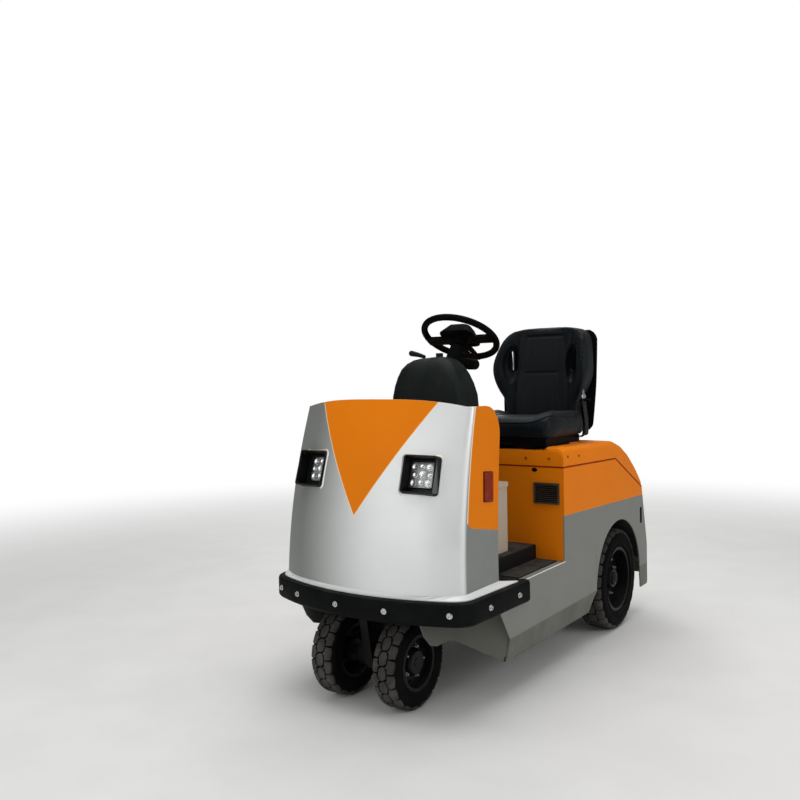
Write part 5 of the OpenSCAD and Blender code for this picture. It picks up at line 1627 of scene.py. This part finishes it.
def place_camera():
    """Camera as solved from the photograph."""
    yaw, pitch, roll = (math.radians(a) for a in (35.0, -1.4, -1.0))
    level = Vector((-math.cos(yaw), -math.sin(yaw), 0))
    right = Vector((-math.sin(yaw), math.cos(yaw), 0))
    look = level * math.cos(pitch) + UP * math.sin(pitch)
    up = right.cross(look)
    across = right * math.cos(roll) + up * math.sin(roll)
    over = up * math.cos(roll) - right * math.sin(roll)
    camera = bpy.data.objects.new("camera", bpy.data.cameras.new("camera"))
    camera.data.sensor_width = 36
    camera.data.lens = 841.1 / 800 * 36
    turn = Matrix((across, over, -look)).transposed().to_4x4()
    camera.matrix_world = Matrix.Translation(at(2813, 2107, 1343)) @ turn
    bpy.context.scene.collection.objects.link(camera)
    bpy.context.scene.camera = camera


def soft_light(name, place, target, size, power):
    """Large lamp that looks at a target."""
    light = bpy.data.lights.new(name, "AREA")
    light.shape = "RECTANGLE"
    light.size, light.size_y = size
    light.energy = power
    lamp = bpy.data.objects.new(name, light)
    lamp.location = place
    lamp.rotation_euler = (Vector(target) - Vector(place)).to_track_quat("-Z", "Y").to_euler()
    bpy.context.scene.collection.objects.link(lamp)


def light_the_stage():
    """Four soft lamps, and a world that is white to the camera and dimmer to the object."""
    soft_light("ceiling light", (0.0, 0.0, 4.6), (0, 0, 0), (5.0, 4.0), 120)
    soft_light("front light", (5.0, -0.5, 2.3), (0.8, 0.1, 0.8), (4.6, 3.2), 50)
    soft_light("back light", (-3.6, -2.6, 3.0), (-0.4, 0, 0.8), (2.5, 2.0), 50)
    soft_light("side light", (0.2, 4.8, 2.4), (-0.1, 0.4, 0.7), (3.0, 2.0), 54)
    world = bpy.data.worlds.new("studio")
    bpy.context.scene.world = world
    world.use_nodes = True
    g = Graph(world.node_tree)
    background = world.node_tree.nodes["Background"]
    path = g.node("LightPath").outputs
    seen = g.most(path["Is Camera Ray"], path["Is Transmission Ray"])
    glossy = g.times(path["Is Glossy Ray"], -0.26)
    g.put(background.inputs["Strength"], g.most(seen, g.plus(glossy, 0.46)))
    background.inputs["Color"].default_value = (1, 1, 1, 1)


def lay_floor():
    """Pale floor that fades to white in the distance."""
    mesh = bpy.data.meshes.new("floor")
    reach = 30.0
    corners = [(x * reach, y * reach, 0) for x, y in ((-1, -1), (1, -1), (1, 1), (-1, 1))]
    mesh.from_pydata(corners, [], [(0, 1, 2, 3)])
    material = bpy.data.materials.new("pale floor")
    floor = link("floor", mesh, material)
    material.use_nodes = True
    g = Graph(material.node_tree)
    shader = material.node_tree.nodes["Principled BSDF"]
    out = material.node_tree.nodes["Material Output"]
    shader.inputs["Roughness"].default_value = 0.85
    speck = g.ramp(g.noise(3.0, 6.0), 0.3, 0.7, 0.70, 0.73)
    g.put(shader.inputs["Base Color"],
          g.node("CombineColor", {0: speck, 1: speck, 2: g.times(speck, 0.985)}).outputs[0])
    white = g.node("Emission", {"Color": (1, 1, 1), "Strength": 1.0})
    far = g.ramp(g.node("VectorMath", {0: g.place()}, operation="LENGTH").outputs["Value"], 2.6, 7.5)
    seen = g.times(far, g.node("LightPath").outputs["Is Camera Ray"])
    mixed = g.node("MixShader", {0: seen, 1: shader.outputs[0], 2: white.outputs[0]})
    g.put(out.inputs["Surface"], mixed.outputs[0])


bpy.context.scene.view_settings.view_transform = "Standard"
place_camera()
light_the_stage()
lay_floor()
